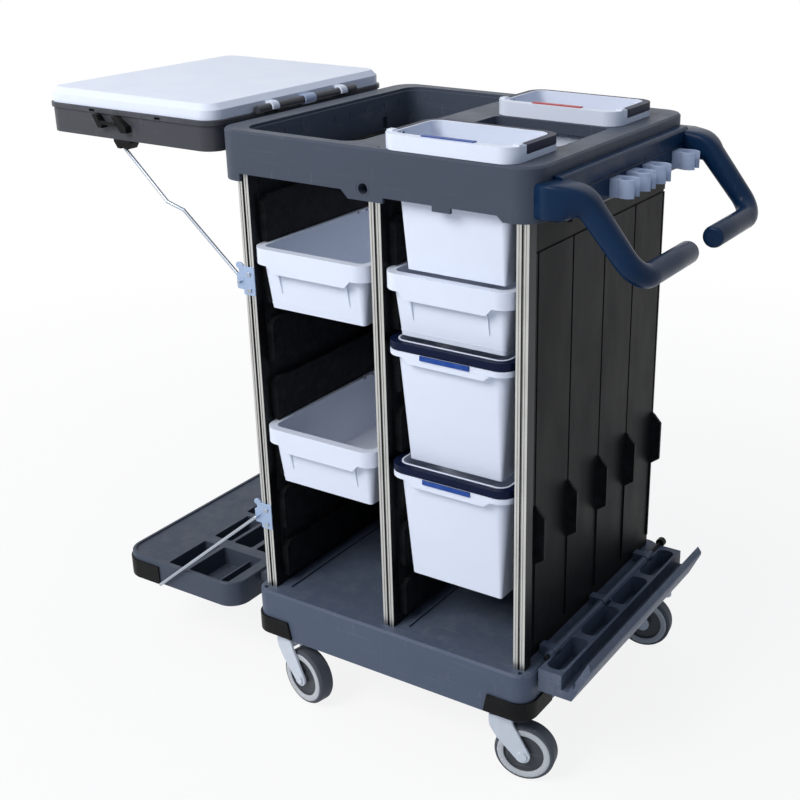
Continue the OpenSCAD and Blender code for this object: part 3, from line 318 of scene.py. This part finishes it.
def moulded_skin_group():
    """Spark-eroded plastic: slow tone drift, faint flow marks, fine pebble grain and a little dust."""
    tree, w, given = open_group(
        "Moulded Skin",
        [("Colour", "NodeSocketColor", (0.3, 0.3, 0.3)), ("Shine", "NodeSocketFloat", 0.45),
         ("Drift", "NodeSocketFloat", 0.10), ("Grain", "NodeSocketFloat", 900.0), ("Dust", "NodeSocketFloat", 0.1)],
        [("Colour", "NodeSocketColor"), ("Roughness", "NodeSocketFloat"), ("Height", "NodeSocketFloat")],
    )
    where = w.place()
    slow = w.noise(where, scale=5.0, detail=4.0, rough=0.55)
    flow = w.noise(w.stretched(where, (2.0, 9.0, 22.0)), scale=1.6, detail=3.0, rough=0.6)
    drift = w.math("ADD", w.math("MULTIPLY", slow, 0.65), w.math("MULTIPLY", flow, 0.35))
    side = w.math("MULTIPLY", w.math("SUBTRACT", drift, 0.5), given["Drift"])
    tone = w.math("ADD", w.math("MULTIPLY", side, 3.0), 1.0)
    shaded = w.scaled(given["Colour"], tone)
    facing = w.add("ShaderNodeSeparateXYZ", i0=w.add("ShaderNodeNewGeometry").outputs["Normal"]).outputs[2]
    settled = w.ramp(facing, 0.6, 1.0)
    specks = w.ramp(w.noise(where, scale=38.0, detail=6.0, rough=0.7), 0.45, 0.75)
    dusty = w.math("MULTIPLY", w.math("MULTIPLY", settled, specks), given["Dust"], clamp=True)
    coloured = w.mix(dusty, shaded, DUST)
    pebbles = w.add("ShaderNodeTexVoronoi", Vector=where, feature="SMOOTH_F1")
    w.tree.links.new(given["Grain"], pebbles.inputs["Scale"])
    wiped = w.noise(w.stretched(where, (6.0, 6.0, 2.0)), scale=3.0, detail=4.0, rough=0.6)
    smears = w.ramp(wiped, 0.35, 0.75, to_low=-0.06, to_high=0.08)
    rough = w.math("ADD", w.math("ADD", given["Shine"], smears), w.math("MULTIPLY", dusty, 0.25), clamp=True)
    close_group(w, Colour=coloured, Roughness=rough, Height=pebbles.outputs["Distance"])
    return tree


def edge_rub_group():
    """Paler colour where corners have been rubbed."""
    tree, w, given = open_group(
        "Edge Rub",
        [("Colour", "NodeSocketColor", (0.3, 0.3, 0.3)), ("Rubbed", "NodeSocketColor", (0.5, 0.5, 0.5)),
         ("Amount", "NodeSocketFloat", 0.3)],
        [("Colour", "NodeSocketColor")],
    )
    geometry = w.add("ShaderNodeNewGeometry")
    corner = w.ramp(geometry.outputs["Pointiness"], 0.53, 0.62)
    patchy = w.ramp(w.noise(w.place(), scale=55.0, detail=5.0, rough=0.65), 0.36, 0.68)
    mask = w.math("MULTIPLY", w.math("MULTIPLY", corner, patchy), given["Amount"], clamp=True)
    close_group(w, Colour=w.mix(mask, given["Colour"], given["Rubbed"]))
    return tree


def scuff_group():
    """Fine crossing scratches and handling marks as a mask."""
    tree, w, given = open_group(
        "Scuffs",
        [("Length", "NodeSocketFloat", 12.0), ("Amount", "NodeSocketFloat", 0.3)],
        [("Mask", "NodeSocketFloat")],
    )
    where = w.place()
    first = w.noise(w.stretched(where, (1.0, 14.0, 40.0)), scale=given["Length"], detail=2.0, rough=0.4)
    second = w.noise(w.stretched(where, (30.0, 3.0, 4.0)), scale=given["Length"], detail=2.0, rough=0.4)
    marks = w.math("MAXIMUM", w.ramp(first, 0.66, 0.72), w.ramp(second, 0.67, 0.73))
    worn = w.ramp(w.noise(where, scale=4.0, detail=3.0), 0.45, 0.7)
    close_group(w, Mask=w.math("MULTIPLY", w.math("MULTIPLY", marks, worn), given["Amount"], clamp=True))
    return tree


def drawn_metal_group():
    """Metal with fine lines along one axis and cloudy stains."""
    tree, w, given = open_group(
        "Drawn Metal",
        [("Colour", "NodeSocketColor", (0.7, 0.7, 0.7)), ("Shine", "NodeSocketFloat", 0.3),
         ("Lines", "NodeSocketVector", (900.0, 900.0, 6.0))],
        [("Colour", "NodeSocketColor"), ("Roughness", "NodeSocketFloat"), ("Height", "NodeSocketFloat")],
    )
    where = w.place()
    along = w.add("ShaderNodeVectorMath", operation="MULTIPLY", i0=where, i1=given["Lines"])
    lines = w.noise(along.outputs[0], scale=1.0, detail=2.0)
    clouds = w.noise(where, scale=14.0, detail=4.0, rough=0.6)
    dull = w.ramp(clouds, 0.3, 0.75, to_low=0.86, to_high=1.04)
    streaks = w.ramp(lines, 0.2, 0.8, to_low=0.94, to_high=1.04)
    tinted = w.scaled(given["Colour"], w.math("MULTIPLY", dull, streaks))
    rough = w.math("ADD", given["Shine"], w.ramp(lines, 0.2, 0.8, to_low=-0.05, to_high=0.12), clamp=True)
    close_group(w, Colour=tinted, Roughness=rough, Height=lines)
    return tree


GROUP_MAKERS = {
    "skin": moulded_skin_group, "rub": edge_rub_group, "scuffs": scuff_group, "drawn": drawn_metal_group,
}
GROUPS = {}


def group(name):
    """A shared node group, built once."""
    if name not in GROUPS:
        GROUPS[name] = GROUP_MAKERS[name]()
    return GROUPS[name]


def place_group(wires, name, **values):
    """Puts a shared group in a material with its own values."""
    node = wires.add("ShaderNodeGroup")
    node.node_tree = group(name)
    for label, value in values.items():
        wires.feed(node, label, value)
    return node


def empty_material(name):
    """New material with no nodes, and its wire placer."""
    material = bpy.data.materials.new(name)
    material.use_nodes = True
    material.node_tree.nodes.clear()
    return material, Wires(material.node_tree)


def open_material(name):
    """New material with its shader and a wire placer."""
    material, wires = empty_material(name)
    shader = wires.add("ShaderNodeBsdfPrincipled")
    wires.add("ShaderNodeOutputMaterial", i0=shader.outputs[0])
    return material, wires, shader


def plastic(name, colour, shine, grain, bump, drift=0.08, dust=0.08, rub=0.25, scuffs=0.15,
            pale=(0.45, 0.46, 0.48), gloss=0.2):
    """Moulded plastic with grain, drift, dust, rubbed corners and scuffs."""
    material, w, shader = open_material(name)
    skin = place_group(w, "skin", Colour=colour, Shine=shine, Drift=drift, Grain=grain, Dust=dust)
    worn = place_group(w, "rub", Colour=skin.outputs["Colour"], Rubbed=pale, Amount=rub)
    marks = place_group(w, "scuffs", Length=PLASTIC_SCUFFS, Amount=scuffs)
    shown = w.mix(marks.outputs["Mask"], worn.outputs["Colour"], pale)
    w.feed(shader, "Base_Color", shown)
    scratched = w.math("MULTIPLY", marks.outputs["Mask"], 0.2)
    w.feed(shader, "Roughness", w.math("ADD", skin.outputs["Roughness"], scratched, clamp=True))
    lift = w.add("ShaderNodeBump", Strength=bump, Distance=GRAIN_DEPTH, Height=skin.outputs["Height"])
    w.feed(shader, "Normal", lift.outputs[0])
    shader.inputs["Specular IOR Level"].default_value = gloss
    return material


def metal(name, colour, shine, lines, bump=0.08, painted_dark_flanks=None):
    """Drawn or plated metal; where a dark colour is given, it is painted on the sides that face along X as a painted
    reflection of the dark bays.
    """
    material, w, shader = open_material(name)
    drawn = place_group(w, "drawn", Colour=colour, Shine=shine, Lines=lines)
    marks = place_group(w, "scuffs", Length=METAL_SCUFFS, Amount=0.3)
    shown = w.mix(marks.outputs["Mask"], drawn.outputs["Colour"], TARNISH)
    if painted_dark_flanks is not None:
        # Painted reflection: sides facing along X take the given dark colour in place of the dark bays they would
        # reflect
        facing = w.add("ShaderNodeSeparateXYZ", i0=w.add("ShaderNodeTexCoord").outputs["Normal"]).outputs[0]
        shown = w.mix(w.ramp(w.math("ABSOLUTE", facing), 0.72, 0.86), shown, painted_dark_flanks)
    w.feed(shader, "Base_Color", shown)
    w.feed(shader, "Roughness", drawn.outputs["Roughness"])
    shader.inputs["Metallic"].default_value = 1.0
    lift = w.add("ShaderNodeBump", Strength=bump, Distance=LINE_DEPTH, Height=drawn.outputs["Height"])
    w.feed(shader, "Normal", lift.outputs[0])
    return material


# Maker, material's name and the maker's settings of each finish, which is named as its colour is
LOOKS = {
    "moulded": (plastic, "moulded_grey", {
        "shine": 0.46, "grain": 900.0, "bump": 0.10, "drift": 0.10, "dust": 0.08, "gloss": 0.15}),
    # Lighter base grey: painted light standing in for light from above on the base deck and the mop tray
    "base": (plastic, "base_grey", {
        "shine": 0.46, "grain": 900.0, "bump": 0.10, "drift": 0.10, "dust": 0.08, "gloss": 0.15}),
    "panel": (plastic, "panel_charcoal", {
        "shine": 0.46, "grain": 1100.0, "bump": 0.12, "drift": 0.12, "dust": 0.05, "pale": (0.10, 0.10, 0.11),
        "gloss": 0.08}),
    "holder": (plastic, "bag_frame_grey", {
        "shine": 0.42, "grain": 900.0, "bump": 0.08, "pale": (0.3, 0.3, 0.32)}),
    "bins": (plastic, "bin_white", {
        "shine": 0.34, "grain": 700.0, "bump": 0.03, "drift": 0.025, "dust": 0.03, "rub": 0.1, "scuffs": 0.06,
        "pale": (0.62, 0.62, 0.64)}),
    "handle": (plastic, "handle_navy", {
        "shine": 0.31, "grain": 1000.0, "bump": 0.06, "drift": 0.10, "dust": 0.04, "pale": (0.08, 0.14, 0.22),
        "gloss": 0.11}),
    "clips": (plastic, "clip_blue_grey", {
        "shine": 0.42, "grain": 900.0, "bump": 0.05, "drift": 0.05}),
    "bails": (plastic, "bail_dark", {
        "shine": 0.38, "grain": 900.0, "bump": 0.06, "drift": 0.10, "dust": 0.03, "pale": (0.06, 0.08, 0.13),
        "gloss": 0.08}),
    "blue_mark": (plastic, "mark_blue", {
        "shine": 0.34, "grain": 900.0, "bump": 0.04, "dust": 0.02, "pale": (0.2, 0.35, 0.6)}),
    "red_mark": (plastic, "mark_red", {
        "shine": 0.34, "grain": 900.0, "bump": 0.04, "dust": 0.02, "pale": (0.6, 0.25, 0.22)}),
    "black": (plastic, "black_satin", {
        "shine": 0.46, "grain": 1000.0, "bump": 0.12, "drift": 0.12, "dust": 0.05, "pale": (0.08, 0.08, 0.08),
        "gloss": 0.08}),
    # Posts: the dark flanks colour is a painted reflection of the dark bays, put on the sides that face along X
    "posts": (metal, "post_aluminium", {
        "shine": 0.34, "lines": (900.0, 900.0, 5.0), "painted_dark_flanks": (0.035, 0.036, 0.04)}),
    "zinc": (metal, "zinc_blue", {
        "shine": 0.44, "lines": (1500.0, 1500.0, 1500.0), "bump": 0.012}),
    "steel": (metal, "plated_steel", {
        "shine": 0.36, "lines": (1500.0, 1500.0, 1500.0), "bump": 0.012}),
    "forks": (plastic, "fork_light_grey", {
        "shine": 0.36, "grain": 600.0, "bump": 0.04, "drift": 0.04, "dust": 0.06, "rub": 0.3, "pale": (0.4, 0.4, 0.4)}),
    "tyres": (plastic, "tyre_grey", {
        "shine": 0.62, "grain": 800.0, "bump": 0.18, "drift": 0.14, "dust": 0.15, "rub": 0.2, "scuffs": 0.4,
        "pale": (0.22, 0.22, 0.22)}),
    "rims": (plastic, "rim_pale_grey", {
        "shine": 0.45, "grain": 800.0, "bump": 0.05, "drift": 0.05, "dust": 0.10, "pale": (0.5, 0.5, 0.5)}),
    "hubs": (plastic, "hub_grey", {
        "shine": 0.45, "grain": 800.0, "bump": 0.06, "drift": 0.08, "dust": 0.10, "pale": (0.5, 0.5, 0.5)}),
}
FINISHES = {}


def finish(look):
    """One of the cart's finishes, made the first time it is asked for."""
    if look not in FINISHES:
        maker, name, settings = LOOKS[look]
        FINISHES[look] = maker(name, getattr(colours(), look), **settings)
    return FINISHES[look]


def coat(piece, look):
    """Gives a piece one finish all over."""
    piece.data.materials.clear()
    piece.data.materials.append(finish(look))
    piece.data.update()


def soften(piece, edge):
    """Rounds a piece's hard edges by one of the sizes and smooths its shading."""
    stored = piece.data.attributes.get("custom_normal")
    if stored is not None:
        piece.data.attributes.remove(stored)
    piece.data.shade_smooth()
    weld = piece.modifiers.new("join_seams", "WELD")
    weld.merge_threshold = SEAM_GAP
    flats = piece.modifiers.new("join_flats", "DECIMATE")
    flats.decimate_type = "DISSOLVE"
    flats.angle_limit = FLAT_TURN
    bevel = piece.modifiers.new("soft_edges", "BEVEL")
    bevel.width = getattr(sizes(), edge)
    bevel.segments = EDGE_STEPS
    bevel.limit_method = "ANGLE"
    bevel.angle_limit = EDGE_TURN
    bevel.use_clamp_overlap = False
    bevel.harden_normals = True
    split = piece.modifiers.new("split_flats", "TRIANGULATE")
    split.ngon_method = "BEAUTY"
    split.keep_custom_normals = True


def dress(name, look, edge):
    """Finishes a CAD node in place."""
    piece = NODES[name]
    coat(piece, look)
    soften(piece, edge)


def add_piece(name, mesh, look, body):
    """New piece of the cart that rides on a body."""
    for polygon in mesh.polygons:
        polygon.use_smooth = True
    piece = bpy.data.objects.new(name, mesh)
    bpy.context.scene.collection.objects.link(piece)
    coat(piece, look)
    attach(piece, body)
    return piece


def add_soft_piece(name, mesh, look, body, edge):
    """New piece with rounded edges."""
    piece = add_piece(name, mesh, look, body)
    soften(piece, edge)
    return piece


def box_mm(node):
    """Lowest and highest corners of a CAD node in millimetres."""
    return [Vector(corner) * MM_PER_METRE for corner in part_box(node)]


def mesh_from(name, points, faces):
    """Mesh from points in millimetres of the row frame, its faces turned outward."""
    bm = bmesh.new()
    made = [bm.verts.new([value * MM for value in point]) for point in points]
    for face in faces:
        bm.faces.new([made[index] for index in face])
    bmesh.ops.recalc_face_normals(bm, faces=bm.faces)
    mesh = bpy.data.meshes.new(name)
    bm.to_mesh(mesh)
    bm.free()
    return mesh


def sweep(name, stations):
    """Closed tube through rings of points, all rings of one length."""
    count = len(stations[0])
    points = [point for ring in stations for point in ring]
    faces = []
    for row in range(len(stations) - 1):
        for k in range(count):
            after = (k + 1) % count
            base, above = row * count, (row + 1) * count
            faces.append((base + k, base + after, above + after, above + k))
    faces.append(tuple(range(count)))
    faces.append(tuple(range((len(stations) - 1) * count, len(stations) * count)))
    return mesh_from(name, points, faces)


def lathe(name, profile, centre, axis):
    """Ring turned round a level axis from a closed profile of radius and height pairs."""
    axis = Vector(axis).normalized()
    first = axis.cross(Vector((0.0, 0.0, 1.0))).normalized()
    second = axis.cross(first)
    points, faces = [], []
    count = len(profile)
    for step in range(RIM_STEPS):
        angle = 2 * math.pi * step / RIM_STEPS
        out = first * math.cos(angle) + second * math.sin(angle)
        points.extend(Vector(centre) + out * radius + axis * height for radius, height in profile)
    for step in range(RIM_STEPS):
        after = (step + 1) % RIM_STEPS
        for k in range(count):
            nxt = (k + 1) % count
            faces.append((step * count + k, step * count + nxt, after * count + nxt, after * count + k))
    return mesh_from(name, points, faces)


def outline_prisms(name, outlines):
    """Outlines in X and Z, each run along Y between its two values."""
    points, faces = [], []
    for outline, front, back in outlines:
        first, count = len(points), len(outline)
        for y in (front, back):
            points.extend((x, y, z) for x, z in outline)
        faces.append(tuple(range(first, first + count)))
        faces.append(tuple(range(first + count, first + 2 * count)))
        for k in range(count):
            after = (k + 1) % count
            faces.append((first + k, first + after, first + count + after, first + count + k))
    return mesh_from(name, points, faces)


def place_camera():
    """Camera where the photograph was taken from."""
    azimuth, elevation, roll = (math.radians(angle) for angle in CAMERA_ANGLES)
    back = Vector((math.sin(azimuth) * math.cos(elevation), -math.cos(azimuth) * math.cos(elevation),
                   math.sin(elevation)))
    right = Vector((math.cos(azimuth), math.sin(azimuth), 0.0))
    up = back.cross(right)
    turned = right * math.cos(roll) + up * math.sin(roll)
    lifted = up * math.cos(roll) - right * math.sin(roll)
    data = bpy.data.cameras.new("camera")
    data.sensor_width = SENSOR_WIDTH
    data.lens = FOCAL_PIXELS / PICTURE_PIXELS * SENSOR_WIDTH
    data.shift_x = CAMERA_SHIFT
    camera = bpy.data.objects.new("camera", data)
    rotation = Matrix((turned, lifted, back)).transposed().to_4x4()
    camera.matrix_world = Matrix.Translation(Vector(CAMERA_PLACE)) @ rotation
    bpy.context.scene.collection.objects.link(camera)
    bpy.context.scene.camera = camera


def background_rays(wires):
    """One for the rays that should see a white background."""
    path = wires.add("ShaderNodeLightPath")
    seen = wires.math("MAXIMUM", path.outputs["Is Camera Ray"], path.outputs["Is Glossy Ray"])
    return wires.math("MAXIMUM", seen, path.outputs["Is Transmission Ray"])


def light_world():
    """Soft blue light from all round behind a white background."""
    world = bpy.data.worlds.new("studio")
    world.use_nodes = True
    world.node_tree.nodes.clear()
    w = Wires(world.node_tree)
    soft = w.add("ShaderNodeBackground", Color=SKY, Strength=SKY_STRENGTH)
    white = w.add("ShaderNodeBackground", Color=WHITE, Strength=1.0)
    either = w.add("ShaderNodeMixShader", i0=background_rays(w), i1=soft.outputs[0], i2=white.outputs[0])
    w.add("ShaderNodeOutputWorld", i0=either.outputs[0])
    bpy.context.scene.world = world


def area_light(name, place, aim, size, power, colour):
    """One soft box."""
    data = bpy.data.lights.new(name, "AREA")
    data.shape = "RECTANGLE"
    data.size, data.size_y = size
    data.energy = power
    data.color = colour
    lamp = bpy.data.objects.new(name, data)
    lamp.location = place
    lamp.rotation_euler = (Vector(aim) - Vector(place)).to_track_quat("-Z", "Y").to_euler()
    bpy.context.scene.collection.objects.link(lamp)


def floor_material():
    """Pale floor that keeps the cart's soft shadow."""
    material, w = empty_material("pale_floor")
    where = w.place()
    tone = w.ramp(w.noise(where, scale=3.0, detail=3.0), 0.3, 0.7, to_low=0.90, to_high=0.93)
    paint = w.add("ShaderNodeCombineColor", i0=tone, i1=tone, i2=tone)
    matt = w.add("ShaderNodeBsdfDiffuse", Color=paint.outputs[0])
    white = w.add("ShaderNodeEmission", Color=WHITE, Strength=1.0)
    away = w.add("ShaderNodeVectorMath", operation="LENGTH", i0=where).outputs["Value"]
    fade = w.ramp(away, FADE_START, FADE_END, to_low=NEAR_WHITE, to_high=1.0)
    share = w.math("MULTIPLY", background_rays(w), fade)
    either = w.add("ShaderNodeMixShader", i0=share, i1=matt.outputs[0], i2=white.outputs[0])
    w.add("ShaderNodeOutputMaterial", i0=either.outputs[0])
    return material


class CART_OT_stage(bpy.types.Operator):
    """Make the floor, the lights and the camera"""

    bl_idname = "cart.stage"
    bl_label = "Stage"

    def execute(self, context):
        """Builds the stage."""
        place_camera()
        light_world()
        for light in LIGHTS:
            area_light(*light)
        bm = bmesh.new()
        bmesh.ops.create_grid(bm, x_segments=FLOOR_CELLS, y_segments=FLOOR_CELLS, size=sizes().floor_reach)
        mesh = bpy.data.meshes.new("floor")
        bm.to_mesh(mesh)
        bm.free()
        floor = bpy.data.objects.new("floor", mesh)
        floor.location = (0.0, 0.0, -FLOOR_DROP)
        floor.data.materials.append(floor_material())
        context.scene.collection.objects.link(floor)
        context.scene.view_settings.view_transform = "Standard"
        return {"FINISHED"}


class CART_OT_chassis(bpy.types.Operator):
    """Finish the base, posts, panels and corner bumpers"""

    bl_idname = "cart.chassis"
    bl_label = "Chassis"

    def execute(self, context):
        """Dresses the chassis nodes."""
        dress("base_deck", "base", "thin_edge")
        dress("corner_bumpers", "black", "bumper_edge")
        dress("front_posts", "posts", "thin_edge")
        dress("rear_posts", "posts", "thin_edge")
        for name in ("left_panel", "centre_panel", "right_panel", "back_panel", "panel_rails"):
            dress(name, "panel", "sheet_edge")
        return {"FINISHED"}


class CART_OT_tray(bpy.types.Operator):
    """Finish the top tray"""

    bl_idname = "cart.tray"
    bl_label = "Top tray"

    def execute(self, context):
        """Dresses the tray nodes."""
        dress("top_tray", "moulded", "crisp_edge")
        dress("tool_socket", "moulded", "eased_edge")
        return {"FINISHED"}


def rounded_ring(centre, across, upward, half_w, half_h, power):
    """Ring of points between an ellipse (power 2) and a rectangle (high power)."""
    ring = []
    for k in range(RING_POINTS):
        angle = 2 * math.pi * k / RING_POINTS
        c, s = math.cos(angle), math.sin(angle)
        x = half_w * math.copysign(abs(c) ** (2 / power), c)
        y = half_h * math.copysign(abs(s) ** (2 / power), s)
        ring.append(centre + across * x + upward * y)
    return ring


def between(first, second, share):
    """Numbers part of the way from a first set to a second."""
    return [a + (b - a) * share for a, b in zip(first, second)]


def arm_rings(side):
    """Rings along one push arm: flat root, bend, slope, elbow, grip and domed end, in millimetres."""
    start = Vector((BEND_X, side * ARM_SIDE, BEND_Z))
    corner = Vector((ELBOW_X, side * ARM_SIDE, ELBOW_Z))
    across, inward = Vector((0.0, 1.0, 0.0)), Vector((0.0, -side, 0.0))
    down = Vector((math.cos(ARM_SLOPE), 0.0, -math.sin(ARM_SLOPE)))
    rings = []
    for x, out, *form in ROOT_RINGS:
        centre = Vector((x, side * (ARM_SIDE + out), ROOT_Z))
        rings.append(rounded_ring(centre, across, Vector((0, 0, 1)), *form))
    for k in range(BEND_STEPS + 1):
        share = k / BEND_STEPS
        angle = ARM_SLOPE * share
        centre = start + Vector((ARM_BEND * math.sin(angle), side * BEND_OUT * (1 - share),
                                 ARM_BEND * (math.cos(angle) - 1) - BEND_DROP * (1 - share)))
        upward = Vector((math.sin(angle), 0.0, math.cos(angle)))
        rings.append(rounded_ring(centre, across, upward, *between(BEND_FORM, SLOPE_FORM, share)))
    bottom = start + Vector((ARM_BEND * math.sin(ARM_SLOPE), 0.0, ARM_BEND * (math.cos(ARM_SLOPE) - 1)))
    upward = Vector((math.sin(ARM_SLOPE), 0.0, math.cos(ARM_SLOPE)))
    for k in range(1, SLOPE_STEPS + 1):
        share = k / SLOPE_STEPS
        centre = bottom.lerp(corner, share)
        rings.append(rounded_ring(centre, across, upward, *between(SLOPE_FORM, ELBOW_FORM, share)))
    for k in range(1, ELBOW_STEPS + 1):
        angle = math.pi / 2 * k / ELBOW_STEPS
        centre = corner + down * ARM_BEND * math.sin(angle) + inward * ARM_BEND * (1 - math.cos(angle))
        turned = across * math.cos(angle) + down * side * math.sin(angle)
        rings.append(rounded_ring(centre, turned, upward, *ELBOW_FORM))
    tip = corner + down * ARM_BEND + inward * ARM_BEND
    for reach, radius in GRIP_RINGS:
        rings.append(rounded_ring(tip + inward * reach, down * side, upward, radius, radius, ROUND))
    return rings


class CART_OT_handle(bpy.types.Operator):
    """Finish the push handle and the mop clips"""

    bl_idname = "cart.handle"
    bl_label = "Push handle"

    def execute(self, context):
        """Dresses the handle nodes and makes the two arms."""
        dress("handle_rail", "handle", "round_edge")
        for side, name in ((-1, "front"), (1, "rear")):
            tube = sweep("arm_" + name, arm_rings(side))
            arm = add_piece("arm_" + name, tube, "handle", "chassis")
            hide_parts("handle_arm_" + name)
        dress("handle_knobs", "black", "round_edge")
        dress("mop_clips", "clips", "crisp_edge")
        return {"FINISHED"}


class CART_OT_mop_tray(bpy.types.Operator):
    """Finish the folding mop tray"""

    bl_idname = "cart.mop_tray"
    bl_label = "Mop tray"

    def execute(self, context):
        """Dresses the mop tray nodes."""
        dress("mop_tray", "base", "thin_edge")
        dress("mop_tray_pin", "black", "round_edge")
        return {"FINISHED"}


class CART_OT_bins(bpy.types.Operator):
    """Finish the drawers, buckets, bails and colour clips"""

    bl_idname = "cart.bins"
    bl_label = "Drawers and buckets"

    def execute(self, context):
        """Dresses the bin nodes."""
        for name in ("drawer_left_upper", "drawer_left_lower", "drawer_right"):
            dress(name, "bins", "drawer_edge")
        for name in ("tray_front", "tray_rear", "upper", "lower"):
            dress("bucket_" + name, "bins", "sheet_edge")
            dress("bail_" + name, "bails", "eased_edge")
            dress("clip_" + name, "red_mark" if name == "tray_rear" else "blue_mark", "crisp_edge")
        return {"FINISHED"}


def pull_mesh():
    """Pull on the front of the bag frame: two slanted legs and the bar between them."""
    return outline_prisms("latch_pull", (
        (PULL_LEFT, LEG_FRONT, LEG_BACK), (PULL_RIGHT, LEG_FRONT, LEG_BACK), (PULL_BAR, BAR_FRONT, BAR_BACK)))


def rod_clip_mesh():
    """Tapered clip under the bag frame that takes the strut's end."""
    low, high = box_mm("strut_clip")
    middle = (low.x + high.x) / 2
    outline = [(middle + x, high.z + z) for x, z in ROD_CLIP]
    return outline_prisms("rod_clip", ((outline, low.y, high.y),))


def plate_mesh():
    """Two plates on the left front post, each with a thicker notched ear for its rod."""
    low, high = box_mm("strut_brackets")
    outlines = []
    for z in (low.z + PLATE_FOOT, high.z - EAR_TOP):
        for outline, front, back in ((PLATE, low.y, high.y), (EAR, low.y + EAR_FRONT, high.y + EAR_BACK)):
            outlines.append(([(high.x - PLATE_RIGHT + x, z + up) for x, up in outline], front, back))
    return outline_prisms("rod_plates", outlines)


class CART_OT_bag_holder(bpy.types.Operator):
    """Finish the bag frame, lid, platform and their rods"""

    bl_idname = "cart.bag_holder"
    bl_label = "Bag holder"

    def execute(self, context):
        """Dresses the bag holder nodes and makes the pull, the rod clip and the plates."""
        dress("bag_frame", "holder", "sheet_edge")
        dress("bag_lid", "bins", "eased_edge")
        pull = add_soft_piece("latch_pull", pull_mesh(), "black", "bag_frame", "round_edge")
        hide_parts("frame_grip")
        clip = add_soft_piece("rod_clip", rod_clip_mesh(), "black", "bag_frame", "eased_edge")
        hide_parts("strut_clip")
        dress("lid_marker", "clips", "eased_edge")
        dress("bag_platform", "moulded", "round_edge")
        dress("platform_bumpers", "black", "round_edge")
        plates = add_soft_piece("rod_plates", plate_mesh(), "zinc", "chassis", "sheet_edge")
        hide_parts("strut_brackets")
        for name in ("bag_strut", "platform_stay", "bracket_screws", "hinge_pins"):
            dress(name, "steel", "thin_edge")
        return {"FINISHED"}


def wheel_axis(corner):
    """Centre in millimetres and axle direction of one wheel."""
    side, end, turn = CASTER_TURNS[corner]
    angle = math.radians(turn)
    x = BASE_MIDDLE_X + side * STEM_X + CASTER_TRAIL * math.cos(angle)
    y = end * STEM_Y + CASTER_TRAIL * math.sin(angle)
    return (x, y, AXLE_Z), (-math.sin(angle), math.cos(angle), 0.0)


class CART_OT_casters(bpy.types.Operator):
    """Finish the casters and their brakes"""

    bl_idname = "cart.casters"
    bl_label = "Casters"

    def execute(self, context):
        """Dresses the caster nodes and makes the pale rings of the wheels."""
        dress("caster_stems", "steel", "thin_edge")
        for corner in CASTER_TURNS:
            dress("caster_fork_" + corner, "forks", "sheet_edge")
            dress("caster_tyre_" + corner, "tyres", "tyre_edge")
            dress("caster_hub_" + corner, "hubs", "round_edge")
            centre, axis = wheel_axis(corner)
            for end, side in (("outer", 1), ("inner", -1)):
                profile = [(radius, side * height) for radius, height in RIM_PROFILE]
                ring = lathe(f"rim_{corner}_{end}", profile, centre, axis)
                add_piece(f"rim_{corner}_{end}", ring, "rims", "wheel_" + corner)
        for corner in ("rl", "rr"):
            dress("brake_pedal_" + corner, "forks", "drawer_edge")
        return {"FINISHED"}


OPERATORS = (
    CART_OT_stage, CART_OT_chassis, CART_OT_tray, CART_OT_handle, CART_OT_mop_tray, CART_OT_bins,
    CART_OT_bag_holder, CART_OT_casters,
)


class CART_PT_sidebar(bpy.types.Panel):
    """Lists the cart's pieces, colours and sizes."""

    bl_label = "Janitor Cart"
    bl_idname = "CART_PT_sidebar"
    bl_space_type = "VIEW_3D"
    bl_region_type = "UI"
    bl_category = "Cart"

    def draw(self, context):
        """Draws the buttons and the values."""
        for operator in OPERATORS:
            self.layout.operator(operator.bl_idname)
        for values in (context.scene.cart_colours, context.scene.cart_sizes):
            for name in values.__annotations__:
                self.layout.prop(values, name)


CLASSES = (CartColours, CartSizes, *OPERATORS, CART_PT_sidebar)


def register():
    """Adds the classes and the scene's values."""
    for entry in CLASSES:
        bpy.utils.register_class(entry)
    bpy.types.Scene.cart_colours = PointerProperty(type=CartColours)
    bpy.types.Scene.cart_sizes = PointerProperty(type=CartSizes)


def unregister():
    """Removes what register added."""
    del bpy.types.Scene.cart_sizes
    del bpy.types.Scene.cart_colours
    for entry in reversed(CLASSES):
        bpy.utils.unregister_class(entry)


def main():
    """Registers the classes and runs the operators."""
    register()
    for operator in OPERATORS:
        area, _, action = operator.bl_idname.partition(".")
        getattr(getattr(bpy.ops, area), action)()


if __name__ == "__main__":
    main()
